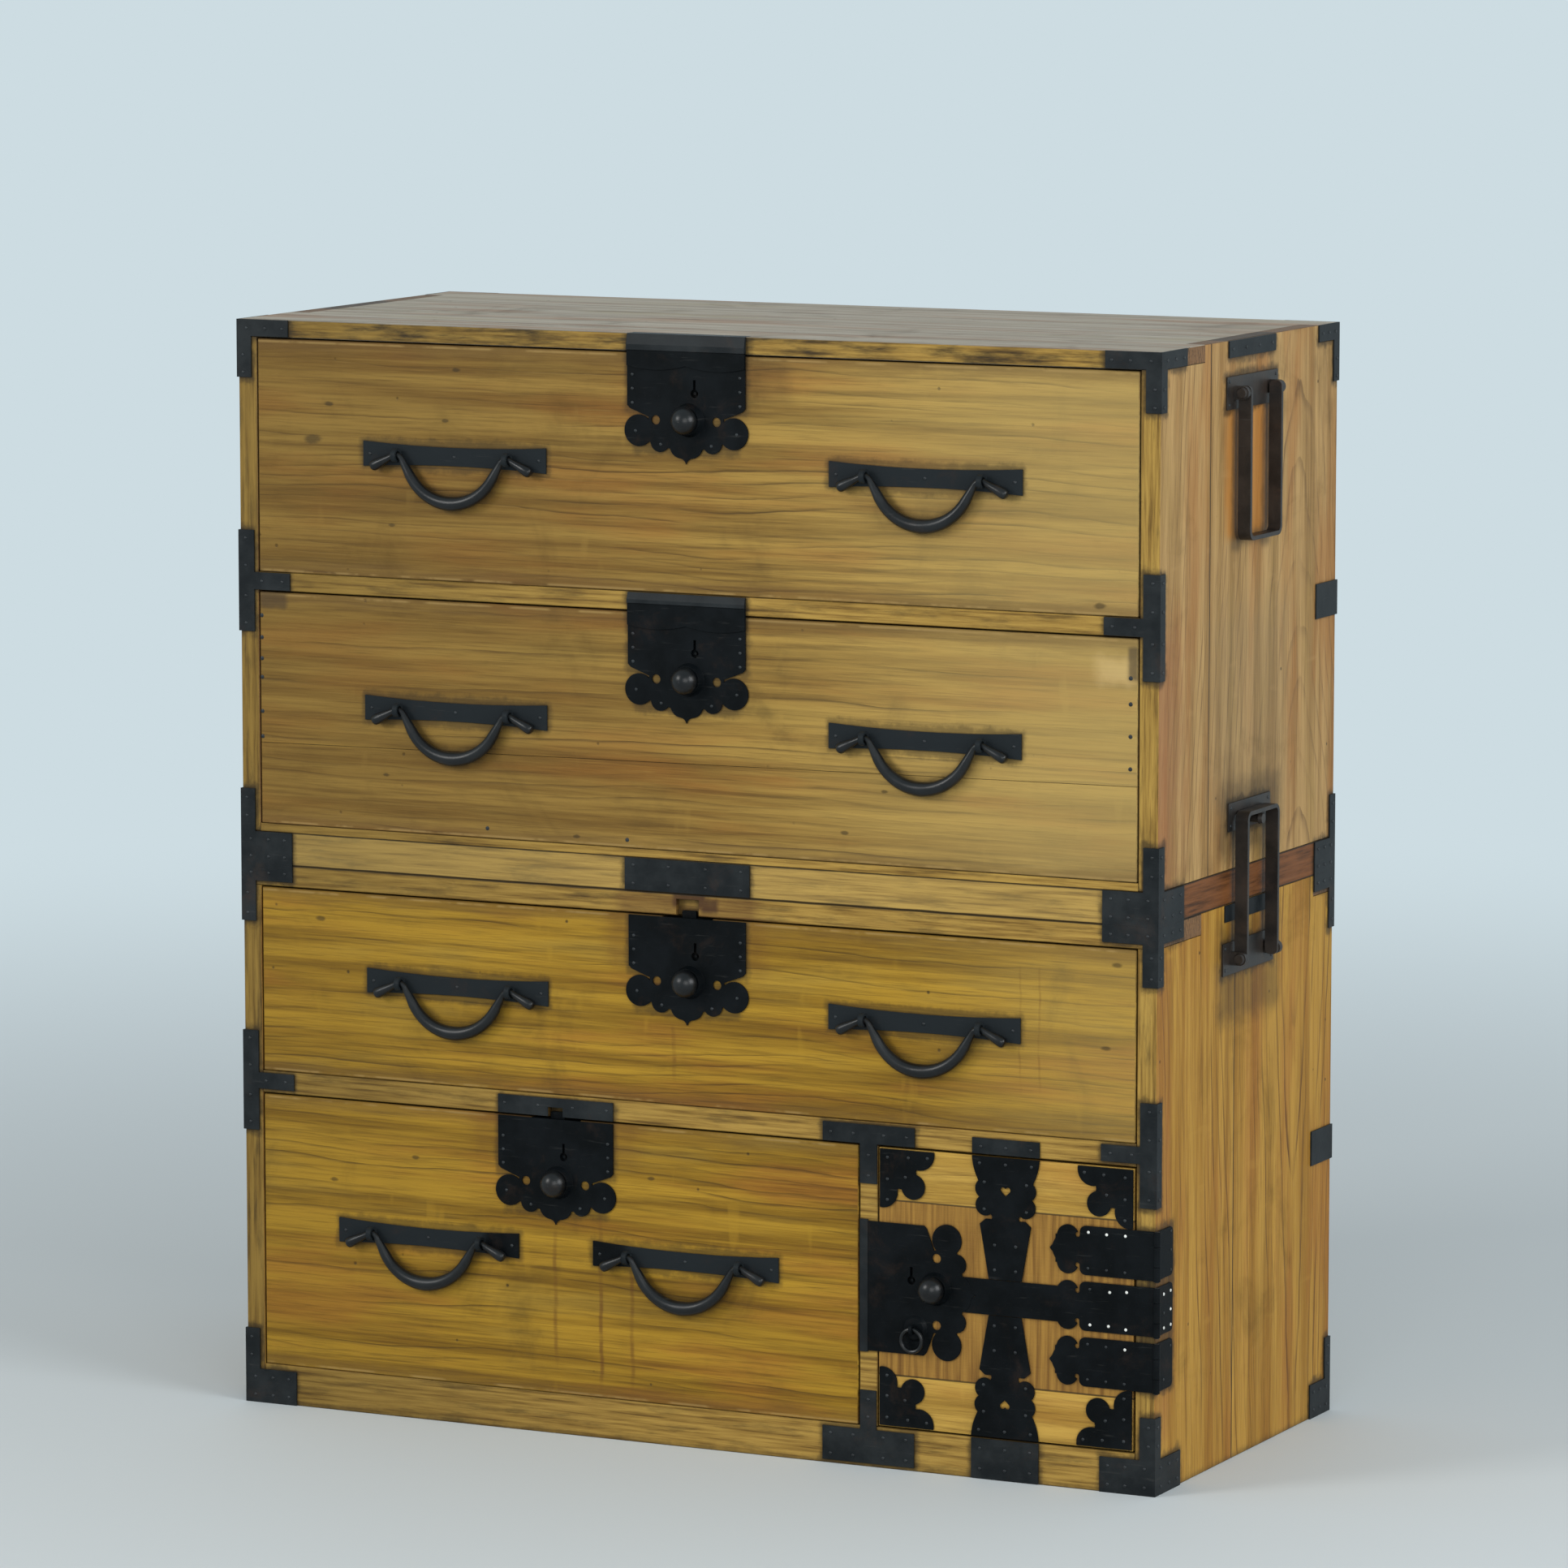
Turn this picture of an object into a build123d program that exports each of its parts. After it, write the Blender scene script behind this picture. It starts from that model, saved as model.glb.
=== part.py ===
from build123d import *
import os
from dataclasses import dataclass
from math import cos, radians, sin, tan

# A clothing chest in two stacked sections, with forged ironwork. The origin is the
# middle of the base on the floor; the front faces -Y, +X is to the viewer's right
# and +Z is up. Every length is in millimetres.

os.makedirs("parts", exist_ok=True)

# Case
case_width = 985.0
case_depth = 434.0
lower_height = 543.0
upper_height = 539.0
side_thickness = 20.0
back_thickness = 7.0
back_rebate = 8.0
lower_top_thickness = 21.0
lower_rail_height = 22.0
lower_sill_height = 40.0
drawer_4_opening = 274.5
lower_floor_thickness = 10.0
upper_top_thickness = 17.0
upper_rail_height = 18.0
upper_sill_height = 33.0
upper_floor_thickness = 8.0
rail_depth = 26.0
sill_depth = 24.0
bearer_width = 40.0
runner_width = 16.0
upright_width = 19.0
door_opening_width = 269.0
partition_thickness = 12.0
shelf_thickness = 10.0
shelf_setback = 40.0
shelf_height_share = 0.5
board_ease = 0.8
top_finger_front = 104.0
top_finger_back = 50.0

# Drawers
drawer_side_gap = 1.5
drawer_top_gap = 1.5
drawer_floor_gap = 0.3
drawer_back_gap = 7.0
drawer_front_thickness = 20.0
drawer_wall = 9.0
drawer_bottom_thickness = 7.0
drawer_wall_drop = 6.0
drawer_lap = 9.0
split_front_share = 0.37
split_front_rise = 10.0
split_front_gap = 0.4

# Door
door_gap = 1.8
door_proud = 0.3
door_thickness = 20.0
door_batten_height = 50.0
door_lock_lead = 9.5
door_keyhole_turn = 90

# Ironwork
iron = 1.5
corner_reach = 56.0
corner_side_reach = 59.0
corner_back_reach = 50.0
corner_strap = 14.5
corner_wrap = 12.0
corner_drop = 57.0
foot_rise = 75.0
tee_strap = 16.0
tee_half_height = 50.0
tee_wrap = 10.5
iron_margin = 0.5
side_edge_plate = 114.0
side_back_plate = 52.0
side_back_plate_height = 34.0
sill_plate_width = 134.0
upright_tee_width = 97.0
upright_tee_drop = 57.0
keeper_lip = 2.5
keeper_gap = 0.3
keeper_top_flange = 14.0
door_strip_width = 8.5

# Locks
lock_width = 126.0
lock_body_height = 51.0
lock_waist_height = 60.0
lock_waist_half = 40.0
lock_corner_round = 3.0
lock_lobe_radius = 15.2
lock_lobe_spread = 50.8
lock_lobe_drop = 73.6
lock_petal_radius = 10.0
lock_petal_spread = 28.0
lock_petal_drop = 83.6
lock_tip_half = 17.0
lock_tip_shoulder = 90.0
lock_tip_neck = 7.0
lock_tip_neck_drop = 98.8
lock_tip_drop = 104.5
lock_eye_radius = 4.6
lock_eye_spread = 32.5
lock_eye_drop = 63.0
keyhole_offset = 9.0
keyhole_slot = 2.8
keyhole_slot_length = 13.0
keyhole_drop = 36.5
keyhole_radius = 4.1
keyhole_post_radius = 1.5
keyhole_depth = 3.0
doubler_height = 11.5
doubler_rise = 3.5
lock_inset = 0.8
drawer_1_overlap = 1.0
drawer_2_overlap = 7.0
lock_case_width = 54.0
lock_case_height = 82.0
lock_case_depth = 14.0
lock_case_gap = 0.2
button_offset = 3.0
button_drop = 62.0
button_travel = 3.5
neck_radius = 12.0
neck_tail = 6.0
dome_radius = 13.6
dome_height = 11.0
collar_radius = 16.3
collar_height = 7.5
collar_taper = 18.0
running_clearance = 0.05
bolt_width = 15.0
bolt_thickness = 3.2
bolt_setback = 4.0
bolt_length = 40.0
bolt_travel = 8.0
bolt_clearance = 0.3
bolt_recess = 1.5
bolt_tab = 6.0
mortise_spare = 2.0
bare_notch_width = 24.5
keeper_notch_width = 16.5
keeper_notch_height = 9.0

# Drawer handles
handle_spread = 252.0
handle_rise = 6.0
drawer_4_handle_spread = 141.5
handle_plate_width = 201.0
handle_plate_height = 24.5
handle_plate_waist = 17.5
eye_spread = 61.0
eye_width = 5.0
eye_radius = 6.7
eye_hole_radius = 4.4
handle_pivot_out = 8.2
bow_drop = 45.0
bow_slope = 60.0
bow_flats = 8
bow_middle_radius = 7.4
bow_shoulder_radius = 5.2
bow_eye_radius = 3.2
bow_tail_radius = 5.6
eye_bend_radius = 8.2
tail_slope = 26.0
tail_length = 26.0

# Side handles
side_plate_width = 124.0
side_plate_height = 31.0
upper_side_plate_drop = 50.0
lower_side_plate_drop = 52.5
strap_length = 141.0
strap_half_width = 39.5
strap_thickness = 4.0
strap_breadth = 13.0
strap_pivot_out = 10.0
strap_lean = 1.5
strap_corner_radius = 9.0
strap_pin_radius = 3.2
strap_pin_head = 5.5
side_eye_width = 6.0
side_eye_radius = 6.4
side_eye_gap = 0.5
loose_clearance = 0.3
tie_plate_width = 102.0
tie_plate_height = 27.0
tie_plate_rise = 5.7
tie_stud_radius = 4.0
tie_stud_head = 5.5
tie_stud_length = 16.0
tie_stud_gap = 1.2

# Door ironwork
hinge_height = 47.0
hinge_spacing = 6.6
hinge_axis_out = 2.8
knuckle_radius = 3.4
knuckle_gap = 0.4
knuckle_share = 0.4
hinge_pin_radius = 1.5
hinge_pin_head = 0.8
leaf_side_reach = 14.0
leaf_root = 80.0
leaf_lobe_radius = 11.0
leaf_lobe_centre = 92.5
leaf_lobe_spread = 12.5
leaf_tip = 111.0
leaf_hole_radius = 2.4
strap_band_height = 34.0
band_top_half = 35.0
band_waist_half = 17.0
band_shoulder_half = 26.5
band_foot_drop = 57.0
band_petal_radius = 10.0
rail_piece_height = 15.0
ornament_setback = 1.0
ornament_clearance = 0.4
ornament_lobe_radius = 15.5
ornament_petal_radius = 12.2
ornament_petal_inset = 22.0
ornament_hole_radius = 2.3
ring_radius = 10.8
ring_wire = 2.0
ring_flats = 8
ring_drop = 37.0
ring_along = 40.5
rosette_radius = 13.0
rosette_height = 3.5
ring_eye_out = 7.8
ring_eye_radius = 5.0
ring_eye_hole = 2.7
ring_eye_width = 3.0

# Levels and faces that follow from the sizes above
side_x = case_width / 2
inner_x = side_x - side_thickness
front_y = -case_depth / 2
back_y = case_depth / 2
back_face_y = back_y - back_thickness
total_height = lower_height + upper_height
lower_rail_z = lower_sill_height + drawer_4_opening
drawer_3_z = lower_rail_z + lower_rail_height
lower_top_z = lower_height - lower_top_thickness
upper_floor_z = lower_height + upper_sill_height
drawer_2_z = upper_floor_z + upper_floor_thickness
upper_top_z = total_height - upper_top_thickness
upper_opening = (upper_top_z - drawer_2_z - upper_rail_height) / 2
upper_rail_z = drawer_2_z + upper_opening
drawer_1_z = upper_rail_z + upper_rail_height
upright_right = inner_x - door_opening_width
upright_left = upright_right - upright_width
upright_x = (upright_left + upright_right) / 2
door_front_y = front_y - door_proud
upper_side_plate_centre = total_height - upper_side_plate_drop
lower_side_plate_centre = lower_height - lower_side_plate_drop
tie_stud_z = lower_side_plate_centre + strap_length - strap_thickness - tie_stud_gap - tie_stud_head


@dataclass
class Drawer:
    """One drawer: its opening in the case and what differs between the four."""

    name: str
    left: float
    right: float
    low: float
    high: float
    spread: float
    overlap: float
    tab: float
    split: bool

    @property
    def middle(self):
        return (self.left + self.right) / 2

    @property
    def base(self):
        return self.low + drawer_floor_gap

    @property
    def top(self):
        return self.high - drawer_top_gap

    @property
    def lock_lead(self):
        """How far the lock plate rises over the board above, past its datum."""
        return lock_inset + drawer_top_gap + self.overlap if self.overlap else 0.0

    @property
    def handle_z(self):
        return (self.low + self.high) / 2 + handle_rise

    @property
    def handle_xs(self):
        return {"left": self.middle - self.spread, "right": self.middle + self.spread}


drawers = [
    Drawer(
        name="drawer_1",
        left=-inner_x,
        right=inner_x,
        low=drawer_1_z,
        high=upper_top_z,
        spread=handle_spread,
        overlap=drawer_1_overlap,
        tab=-bolt_recess,
        split=False,
    ),
    Drawer(
        name="drawer_2",
        left=-inner_x,
        right=inner_x,
        low=drawer_2_z,
        high=upper_rail_z,
        spread=handle_spread,
        overlap=drawer_2_overlap,
        tab=-bolt_recess,
        split=True,
    ),
    Drawer(
        name="drawer_3",
        left=-inner_x,
        right=inner_x,
        low=drawer_3_z,
        high=lower_top_z,
        spread=handle_spread,
        overlap=0.0,
        tab=bolt_tab,
        split=False,
    ),
    Drawer(
        name="drawer_4",
        left=-inner_x,
        right=upright_left,
        low=lower_sill_height,
        high=lower_rail_z,
        spread=drawer_4_handle_spread,
        overlap=0.0,
        tab=bolt_tab,
        split=False,
    ),
]

door_left = upright_right + door_gap
door_right = inner_x - door_gap
door_low = lower_sill_height + door_gap
door_high = lower_rail_z - door_gap
door_middle_x = (door_left + door_right) / 2
door_middle_z = (door_low + door_high) / 2
hinge_pitch = hinge_height + hinge_spacing
leaves_half_height = hinge_pitch + hinge_height / 2
ornament_side = door_high - door_middle_z - leaves_half_height - ornament_setback - ornament_clearance
ornament_lobe_centre = ornament_side - ornament_lobe_radius
ornament_petal_centre = ornament_side - ornament_petal_inset
hinge_x = side_x + hinge_axis_out
hinge_y = front_y - hinge_axis_out


def front_plane(x, z, out=0.0):
    """The plane of the chest's front at (x, z): local x is +X and local y is +Z."""
    return Plane(origin=(x, front_y - out, z), x_dir=(1, 0, 0), z_dir=(0, -1, 0))


def side_plane(sign, y, z, out=0.0):
    """The plane of the right (sign 1) or left (-1) side: local y is +Z."""
    return Plane(origin=(sign * (side_x + out), y, z), x_dir=(0, sign, 0), z_dir=(sign, 0, 0))


def board(x_range, y_range, z_range, ease=0.0):
    """A planed board between the given limits, its edges eased by a small chamfer."""
    with BuildPart() as piece:
        with Locations((x_range[0], y_range[0], z_range[0])):
            Box(
                x_range[1] - x_range[0],
                y_range[1] - y_range[0],
                z_range[1] - z_range[0],
                align=(Align.MIN, Align.MIN, Align.MIN),
            )
        if ease:
            chamfer(piece.edges(), ease)
    return piece.part


def save(shape, name):
    """Label one finished piece or group of pieces and write it."""
    shape.label = name
    export_step(shape, f"parts/{name}.step")


def save_group(pieces, name):
    """Write several separate solids, such as a drawer's four boards, as one node."""
    save(Compound(children=list(pieces)), name)


# ---------------------------------------------------------------- case boards


def case_side(sign, low, high, top_thickness):
    """A side board: rebated behind for the back, notched above for the top's fingers."""
    middle_x = sign * (inner_x + side_x) / 2
    with BuildPart() as side:
        add(board(sorted((sign * inner_x, sign * side_x)), (front_y, back_y), (low, high), board_ease))
        with BuildSketch(Plane.XY.offset(low - 1)):
            with Locations((sign * inner_x, back_y)):
                Rectangle(2 * back_rebate, 2 * back_thickness)
        extrude(amount=high - low + 2, mode=Mode.SUBTRACT)
        with BuildSketch(Plane.XY.offset(high - top_thickness)):
            with Locations((middle_x, front_y)):
                Rectangle(2 * side_thickness, 2 * top_finger_front)
            with Locations((middle_x, back_y)):
                Rectangle(2 * side_thickness, 2 * top_finger_back)
        extrude(amount=2 * top_thickness, mode=Mode.SUBTRACT)
    return side.part


def case_top(low, high):
    """A top board with a finger at each corner, between which the sides reach its face."""
    middle_y = (front_y + top_finger_front + back_y - top_finger_back) / 2
    with BuildPart() as top:
        add(board((-side_x, side_x), (front_y, back_y), (low, high), board_ease))
        with BuildSketch(Plane.XY.offset(low)):
            with Locations((-side_x, middle_y), (side_x, middle_y)):
                Rectangle(2 * side_thickness, case_depth - top_finger_front - top_finger_back)
        extrude(amount=high - low, mode=Mode.SUBTRACT)
    return top.part


def case_back(low, high):
    return board((-inner_x - back_rebate, inner_x + back_rebate), (back_face_y, back_y), (low, high))


def runner(sign, low, height):
    """A drawer runner on the inside of one side board, from rail to back."""
    x_range = sorted((sign * (inner_x - runner_width), sign * inner_x))
    return board(x_range, (front_y + rail_depth, back_face_y), (low, low + height))


def mortise(x, z, width, height, setback, depth):
    """Cut a bolt mortise up into the rail above a drawer, from its under face."""
    with BuildSketch(Plane.XY.offset(z)) as slot:
        with Locations((x, front_y + setback)):
            Rectangle(width, depth, align=(Align.CENTER, Align.MIN))
    extrude(slot.sketch, amount=height, mode=Mode.SUBTRACT)


bolt_pocket_width = bolt_width + 2 * bolt_clearance
bolt_pocket_depth = bolt_thickness + 2 * bolt_clearance
bolt_pocket_setback = bolt_setback - bolt_clearance
shut_mortise_height = bolt_travel - bolt_recess + mortise_spare
open_mortise_height = bolt_travel + bolt_tab + mortise_spare
open_mortise_depth = bolt_pocket_setback + bolt_pocket_depth

# Upper section
upper_sides = [case_side(sign, upper_floor_z, total_height, upper_top_thickness) for sign in (-1, 1)]
save_group(upper_sides, "upper_sides")
save(case_back(upper_floor_z, upper_top_z), "upper_back")

with BuildPart() as upper_top:
    add(case_top(upper_top_z, total_height))
    mortise(0, upper_top_z, bolt_pocket_width, shut_mortise_height, bolt_pocket_setback, bolt_pocket_depth)
    # The keeper of drawer 1 is folded over the front edge and let in flush
    with BuildSketch(Plane.XY.offset(total_height)):
        with Locations((0, front_y)):
            Rectangle(lock_width, keeper_top_flange, align=(Align.CENTER, Align.MIN))
    extrude(amount=-iron, mode=Mode.SUBTRACT)
save(upper_top.part, "upper_top")

upper_floor = board((-inner_x, inner_x), (front_y, back_face_y), (upper_floor_z, drawer_2_z), board_ease / 2)
save(upper_floor, "upper_floor")

with BuildPart() as upper_rail:
    add(board((-inner_x, inner_x), (front_y, front_y + rail_depth), (upper_rail_z, drawer_1_z), board_ease))
    mortise(0, upper_rail_z, bolt_pocket_width, shut_mortise_height, bolt_pocket_setback, bolt_pocket_depth)
save(upper_rail.part, "upper_rail")

upper_sills = [
    board((-side_x, side_x), (front_y, front_y + sill_depth), (lower_height, upper_floor_z), board_ease),
    board((-side_x, side_x), (back_y - sill_depth, back_y), (lower_height, upper_floor_z), board_ease),
]
for sign in (-1, 1):
    upper_sills.append(
        board(
            sorted((sign * inner_x, sign * side_x)),
            (front_y + sill_depth, back_y - sill_depth),
            (lower_height, upper_floor_z),
        )
    )
save_group(upper_sills, "upper_base_frame")

# Lower section
lower_sides = [case_side(sign, 0, lower_height, lower_top_thickness) for sign in (-1, 1)]
save_group(lower_sides, "lower_sides")
save(case_back(0, lower_top_z), "lower_back")

with BuildPart() as lower_top:
    add(case_top(lower_top_z, lower_height))
    mortise(0, lower_top_z, bare_notch_width, open_mortise_height, 0, open_mortise_depth)
save(lower_top.part, "lower_top")

with BuildPart() as lower_rail:
    add(board((-inner_x, inner_x), (front_y, front_y + rail_depth), (lower_rail_z, drawer_3_z), board_ease))
    mortise(drawers[3].middle, lower_rail_z, keeper_notch_width, open_mortise_height, 0, open_mortise_depth)
lower_sill = board((-inner_x, inner_x), (front_y, front_y + sill_depth), (0, lower_sill_height), board_ease)
save_group([lower_rail.part, lower_sill], "lower_rails")

floor_z = lower_sill_height - lower_floor_thickness
floor_front_y = front_y + sill_depth
bearer_back_y = back_face_y - sill_depth
save_group(
    [
        board((-inner_x, inner_x), (floor_front_y, back_face_y), (floor_z, lower_sill_height)),
        board((-inner_x, inner_x), (bearer_back_y, back_face_y), (0, floor_z)),
        board((-bearer_width / 2, bearer_width / 2), (floor_front_y, bearer_back_y), (0, floor_z)),
    ],
    "lower_bottom",
)

with BuildPart() as upright:
    add(
        board(
            (upright_left, upright_right),
            (front_y, front_y + rail_depth),
            (lower_sill_height, lower_rail_z),
            board_ease,
        )
    )
    with BuildSketch(Plane.YZ.offset(upright_right)):
        with Locations((front_y + bolt_pocket_setback, door_middle_z)):
            Rectangle(bolt_pocket_depth, bolt_pocket_width, align=(Align.MIN, Align.CENTER))
    extrude(amount=-(bolt_travel + mortise_spare), mode=Mode.SUBTRACT)

partition_right = upright_x + partition_thickness / 2
shelf_z = lower_sill_height + drawer_4_opening * shelf_height_share
partition = board(
    (upright_x - partition_thickness / 2, partition_right),
    (front_y + rail_depth, back_face_y),
    (lower_sill_height, lower_rail_z),
)
shelf = board(
    (partition_right, inner_x),
    (front_y + shelf_setback, back_face_y),
    (shelf_z, shelf_z + shelf_thickness),
    board_ease,
)
dust_board = board(
    (upright_x - partition_thickness / 2, inner_x - runner_width),
    (front_y + rail_depth, back_face_y),
    (lower_rail_z, lower_rail_z + shelf_thickness),
)
save_group([upright.part, partition, dust_board, shelf], "lower_partition")
save_group(
    [
        runner(sign, low, height)
        for low, height in ((lower_rail_z, lower_rail_height), (upper_rail_z, upper_rail_height))
        for sign in (-1, 1)
    ],
    "drawer_runners",
)


# ---------------------------------------------------------------- case irons


def wrapped_iron(x_sign, y_sign, face_bands, side_bands):
    """Sheet iron folded round a vertical corner of the case.

    Each band is (reach from the corner, lowest level, highest level), the first list on
    the front or back and the second on the side.
    """
    face = Plane(origin=(0, y_sign * case_depth / 2, 0), x_dir=(-y_sign, 0, 0), z_dir=(0, y_sign, 0))
    with BuildSketch(face) as face_part:
        for reach, low, high in face_bands:
            centre = x_sign * (side_x + iron - (reach + iron) / 2)
            with Locations((-y_sign * centre, (low + high) / 2)):
                Rectangle(reach + iron, high - low)
    extrude(face_part.sketch, amount=iron)
    with BuildSketch(side_plane(x_sign, 0, 0)) as side_part:
        for reach, low, high in side_bands:
            centre = y_sign * (case_depth / 2 + iron - (reach + iron) / 2)
            with Locations((x_sign * centre, (low + high) / 2)):
                Rectangle(reach + iron, high - low)
    extrude(side_part.sketch, amount=iron)


def corner_iron(x_sign, y_sign, arm_low, arm_high, strap_low, strap_high):
    """A corner iron: an arm along the edge board and a strap up or down the corner."""
    side_reach = corner_side_reach if y_sign < 0 else corner_back_reach
    face_bands = [(corner_reach, arm_low, arm_high), (corner_strap, strap_low, strap_high)]
    side_bands = [(side_reach, arm_low, arm_high), (corner_wrap, strap_low, strap_high)]
    wrapped_iron(x_sign, y_sign, face_bands, side_bands)


def top_corner_irons(top, board_thickness):
    for x_sign in (-1, 1):
        for y_sign in (-1, 1):
            corner_iron(x_sign, y_sign, top - board_thickness + iron_margin, top, top - corner_drop, top)


def foot_corner_irons(base, arm_height):
    for x_sign in (-1, 1):
        for y_sign in (-1, 1):
            corner_iron(x_sign, y_sign, base, base + arm_height, base, base + foot_rise)


def rail_tees(rail_low, rail_high):
    """T irons where a middle rail meets the side boards."""
    middle = (rail_low + rail_high) / 2
    for x_sign in (-1, 1):
        wrapped_iron(
            x_sign,
            -1,
            [
                (corner_reach, rail_low + iron_margin, rail_high - iron_margin),
                (tee_strap, middle - tee_half_height, middle + tee_half_height),
            ],
            [(tee_wrap, middle - tee_half_height, middle + tee_half_height)],
        )


def side_plates(centre_z):
    """Plates folded round the rear edge of both side boards."""
    low = centre_z - side_back_plate_height / 2
    high = centre_z + side_back_plate_height / 2
    for x_sign in (-1, 1):
        wrapped_iron(x_sign, 1, [(corner_strap, low, high)], [(side_back_plate, low, high)])


def edge_plates(top, board_thickness):
    """A plate at the middle of each side's top edge."""
    for x_sign in (-1, 1):
        with BuildSketch(side_plane(x_sign, 0, top - board_thickness / 2)) as plate:
            Rectangle(side_edge_plate, board_thickness - 2 * iron_margin)
        extrude(plate.sketch, amount=iron)


def keeper(x, low, high):
    """A bevelled keeper bar over a lock: its lower half stands out as a lip."""
    end = Plane(origin=(x + lock_width / 2, front_y, low), x_dir=(0, -1, 0), z_dir=(-1, 0, 0))
    with BuildSketch(end) as section:
        with BuildLine():
            Polyline(
                (0, 0),
                (iron + keeper_lip, 0),
                (iron + keeper_lip, (high - low) * 0.35),
                (iron, high - low),
                (0, high - low),
                close=True,
            )
        make_face()
    extrude(section.sketch, amount=lock_width)


with BuildPart() as upper_irons:
    top_corner_irons(total_height, upper_top_thickness)
    foot_corner_irons(lower_height, upper_sill_height - iron_margin)
    rail_tees(upper_rail_z, drawer_1_z)
    side_plates(lower_height + upper_height / 2)
    edge_plates(total_height, upper_top_thickness)
    with BuildSketch(front_plane(0, lower_height + upper_sill_height / 2)):
        Rectangle(sill_plate_width, upper_sill_height - 4 * iron_margin)
    extrude(amount=iron)
    keeper(0, upper_rail_z + drawer_2_overlap + keeper_gap, drawer_1_z - iron_margin)
    keeper(0, upper_top_z + drawer_1_overlap + keeper_gap, total_height)
    with BuildSketch(Plane.XY.offset(total_height)):
        with Locations((0, front_y - iron)):
            Rectangle(lock_width, keeper_top_flange + iron, align=(Align.CENTER, Align.MIN))
    extrude(amount=-iron)
save(upper_irons.part, "upper_irons")

with BuildPart() as lower_irons:
    top_corner_irons(lower_height, lower_top_thickness - 4)
    foot_corner_irons(0, lower_sill_height - 6)
    rail_tees(lower_rail_z + 3, drawer_3_z - 2)
    side_plates(lower_height / 2)
    edge_plates(lower_height, lower_top_thickness - 4)
    # T iron over the upright and inverted T iron at its foot
    tee_arm_low = lower_rail_z + iron_margin
    tee_arm_high = drawer_3_z - 3
    with BuildSketch(front_plane(upright_x, 0)):
        with Locations((0, (tee_arm_low + tee_arm_high) / 2)):
            Rectangle(upright_tee_width, tee_arm_high - tee_arm_low)
        with Locations((0, tee_arm_high)):
            Rectangle(
                upright_width - 2 * iron_margin, upright_tee_drop, align=(Align.CENTER, Align.MAX)
            )
    extrude(amount=iron)
    foot_tee_low = 3.5
    foot_tee_high = lower_sill_height - 3.5
    with BuildSketch(front_plane(upright_x, 0)):
        with Locations((0, (foot_tee_low + foot_tee_high) / 2)):
            Rectangle(upright_tee_width, foot_tee_high - foot_tee_low)
        with Locations((0, foot_tee_low)):
            Rectangle(
                upright_width - 4 * iron_margin, foot_rise - foot_tee_low, align=(Align.CENTER, Align.MIN)
            )
    extrude(amount=iron)
    # Keeper of drawer 4, with the square notch that its bolt rises through
    with BuildSketch(front_plane(drawers[3].middle, lower_rail_z + iron_margin)):
        Rectangle(lock_width, lower_rail_height - 4, align=(Align.CENTER, Align.MIN))
        Rectangle(
            keeper_notch_width, keeper_notch_height, align=(Align.CENTER, Align.MIN), mode=Mode.SUBTRACT
        )
    extrude(amount=iron)
    # Keeper strip of the door, beside the door's lock plate
    with BuildSketch(front_plane(upright_left + iron_margin, door_middle_z)):
        Rectangle(door_strip_width, lock_width + 3, align=(Align.MIN, Align.CENTER))
    extrude(amount=iron)
    # Pieces of the door's centre band that stay on the rail and the sill
    for low, high in (
        (lower_rail_z + iron_margin, lower_rail_z + iron_margin + rail_piece_height),
        (iron_margin, lower_sill_height - iron_margin),
    ):
        with BuildSketch(front_plane(door_middle_x, (low + high) / 2)):
            Rectangle(2 * band_top_half, high - low)
        extrude(amount=iron)
save(lower_irons.part, "lower_irons")


# ---------------------------------------------------------------- side handles


def side_handle_plate(sign, centre_z, lean):
    """A side handle's plate with the two eyes that hold the strap's pins."""
    pivot_out = strap_pivot_out + lean
    with BuildPart() as plate:
        with BuildSketch(side_plane(sign, 0, centre_z)):
            Rectangle(side_plate_width, side_plate_height)
        extrude(amount=iron)
        for end in (-1, 1):
            eye_y = end * (strap_half_width + side_eye_gap)
            eye_origin = (sign * side_x, eye_y, centre_z)
            with BuildSketch(Plane(origin=eye_origin, x_dir=(sign, 0, 0), z_dir=(0, end, 0))):
                with Locations((pivot_out, 0)):
                    Circle(side_eye_radius)
                Rectangle(pivot_out, 2 * side_eye_radius, align=(Align.MIN, Align.CENTER))
                with Locations((pivot_out, 0)):
                    Circle(strap_pin_radius + loose_clearance, mode=Mode.SUBTRACT)
            extrude(amount=side_eye_width)
    return plate.part


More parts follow.
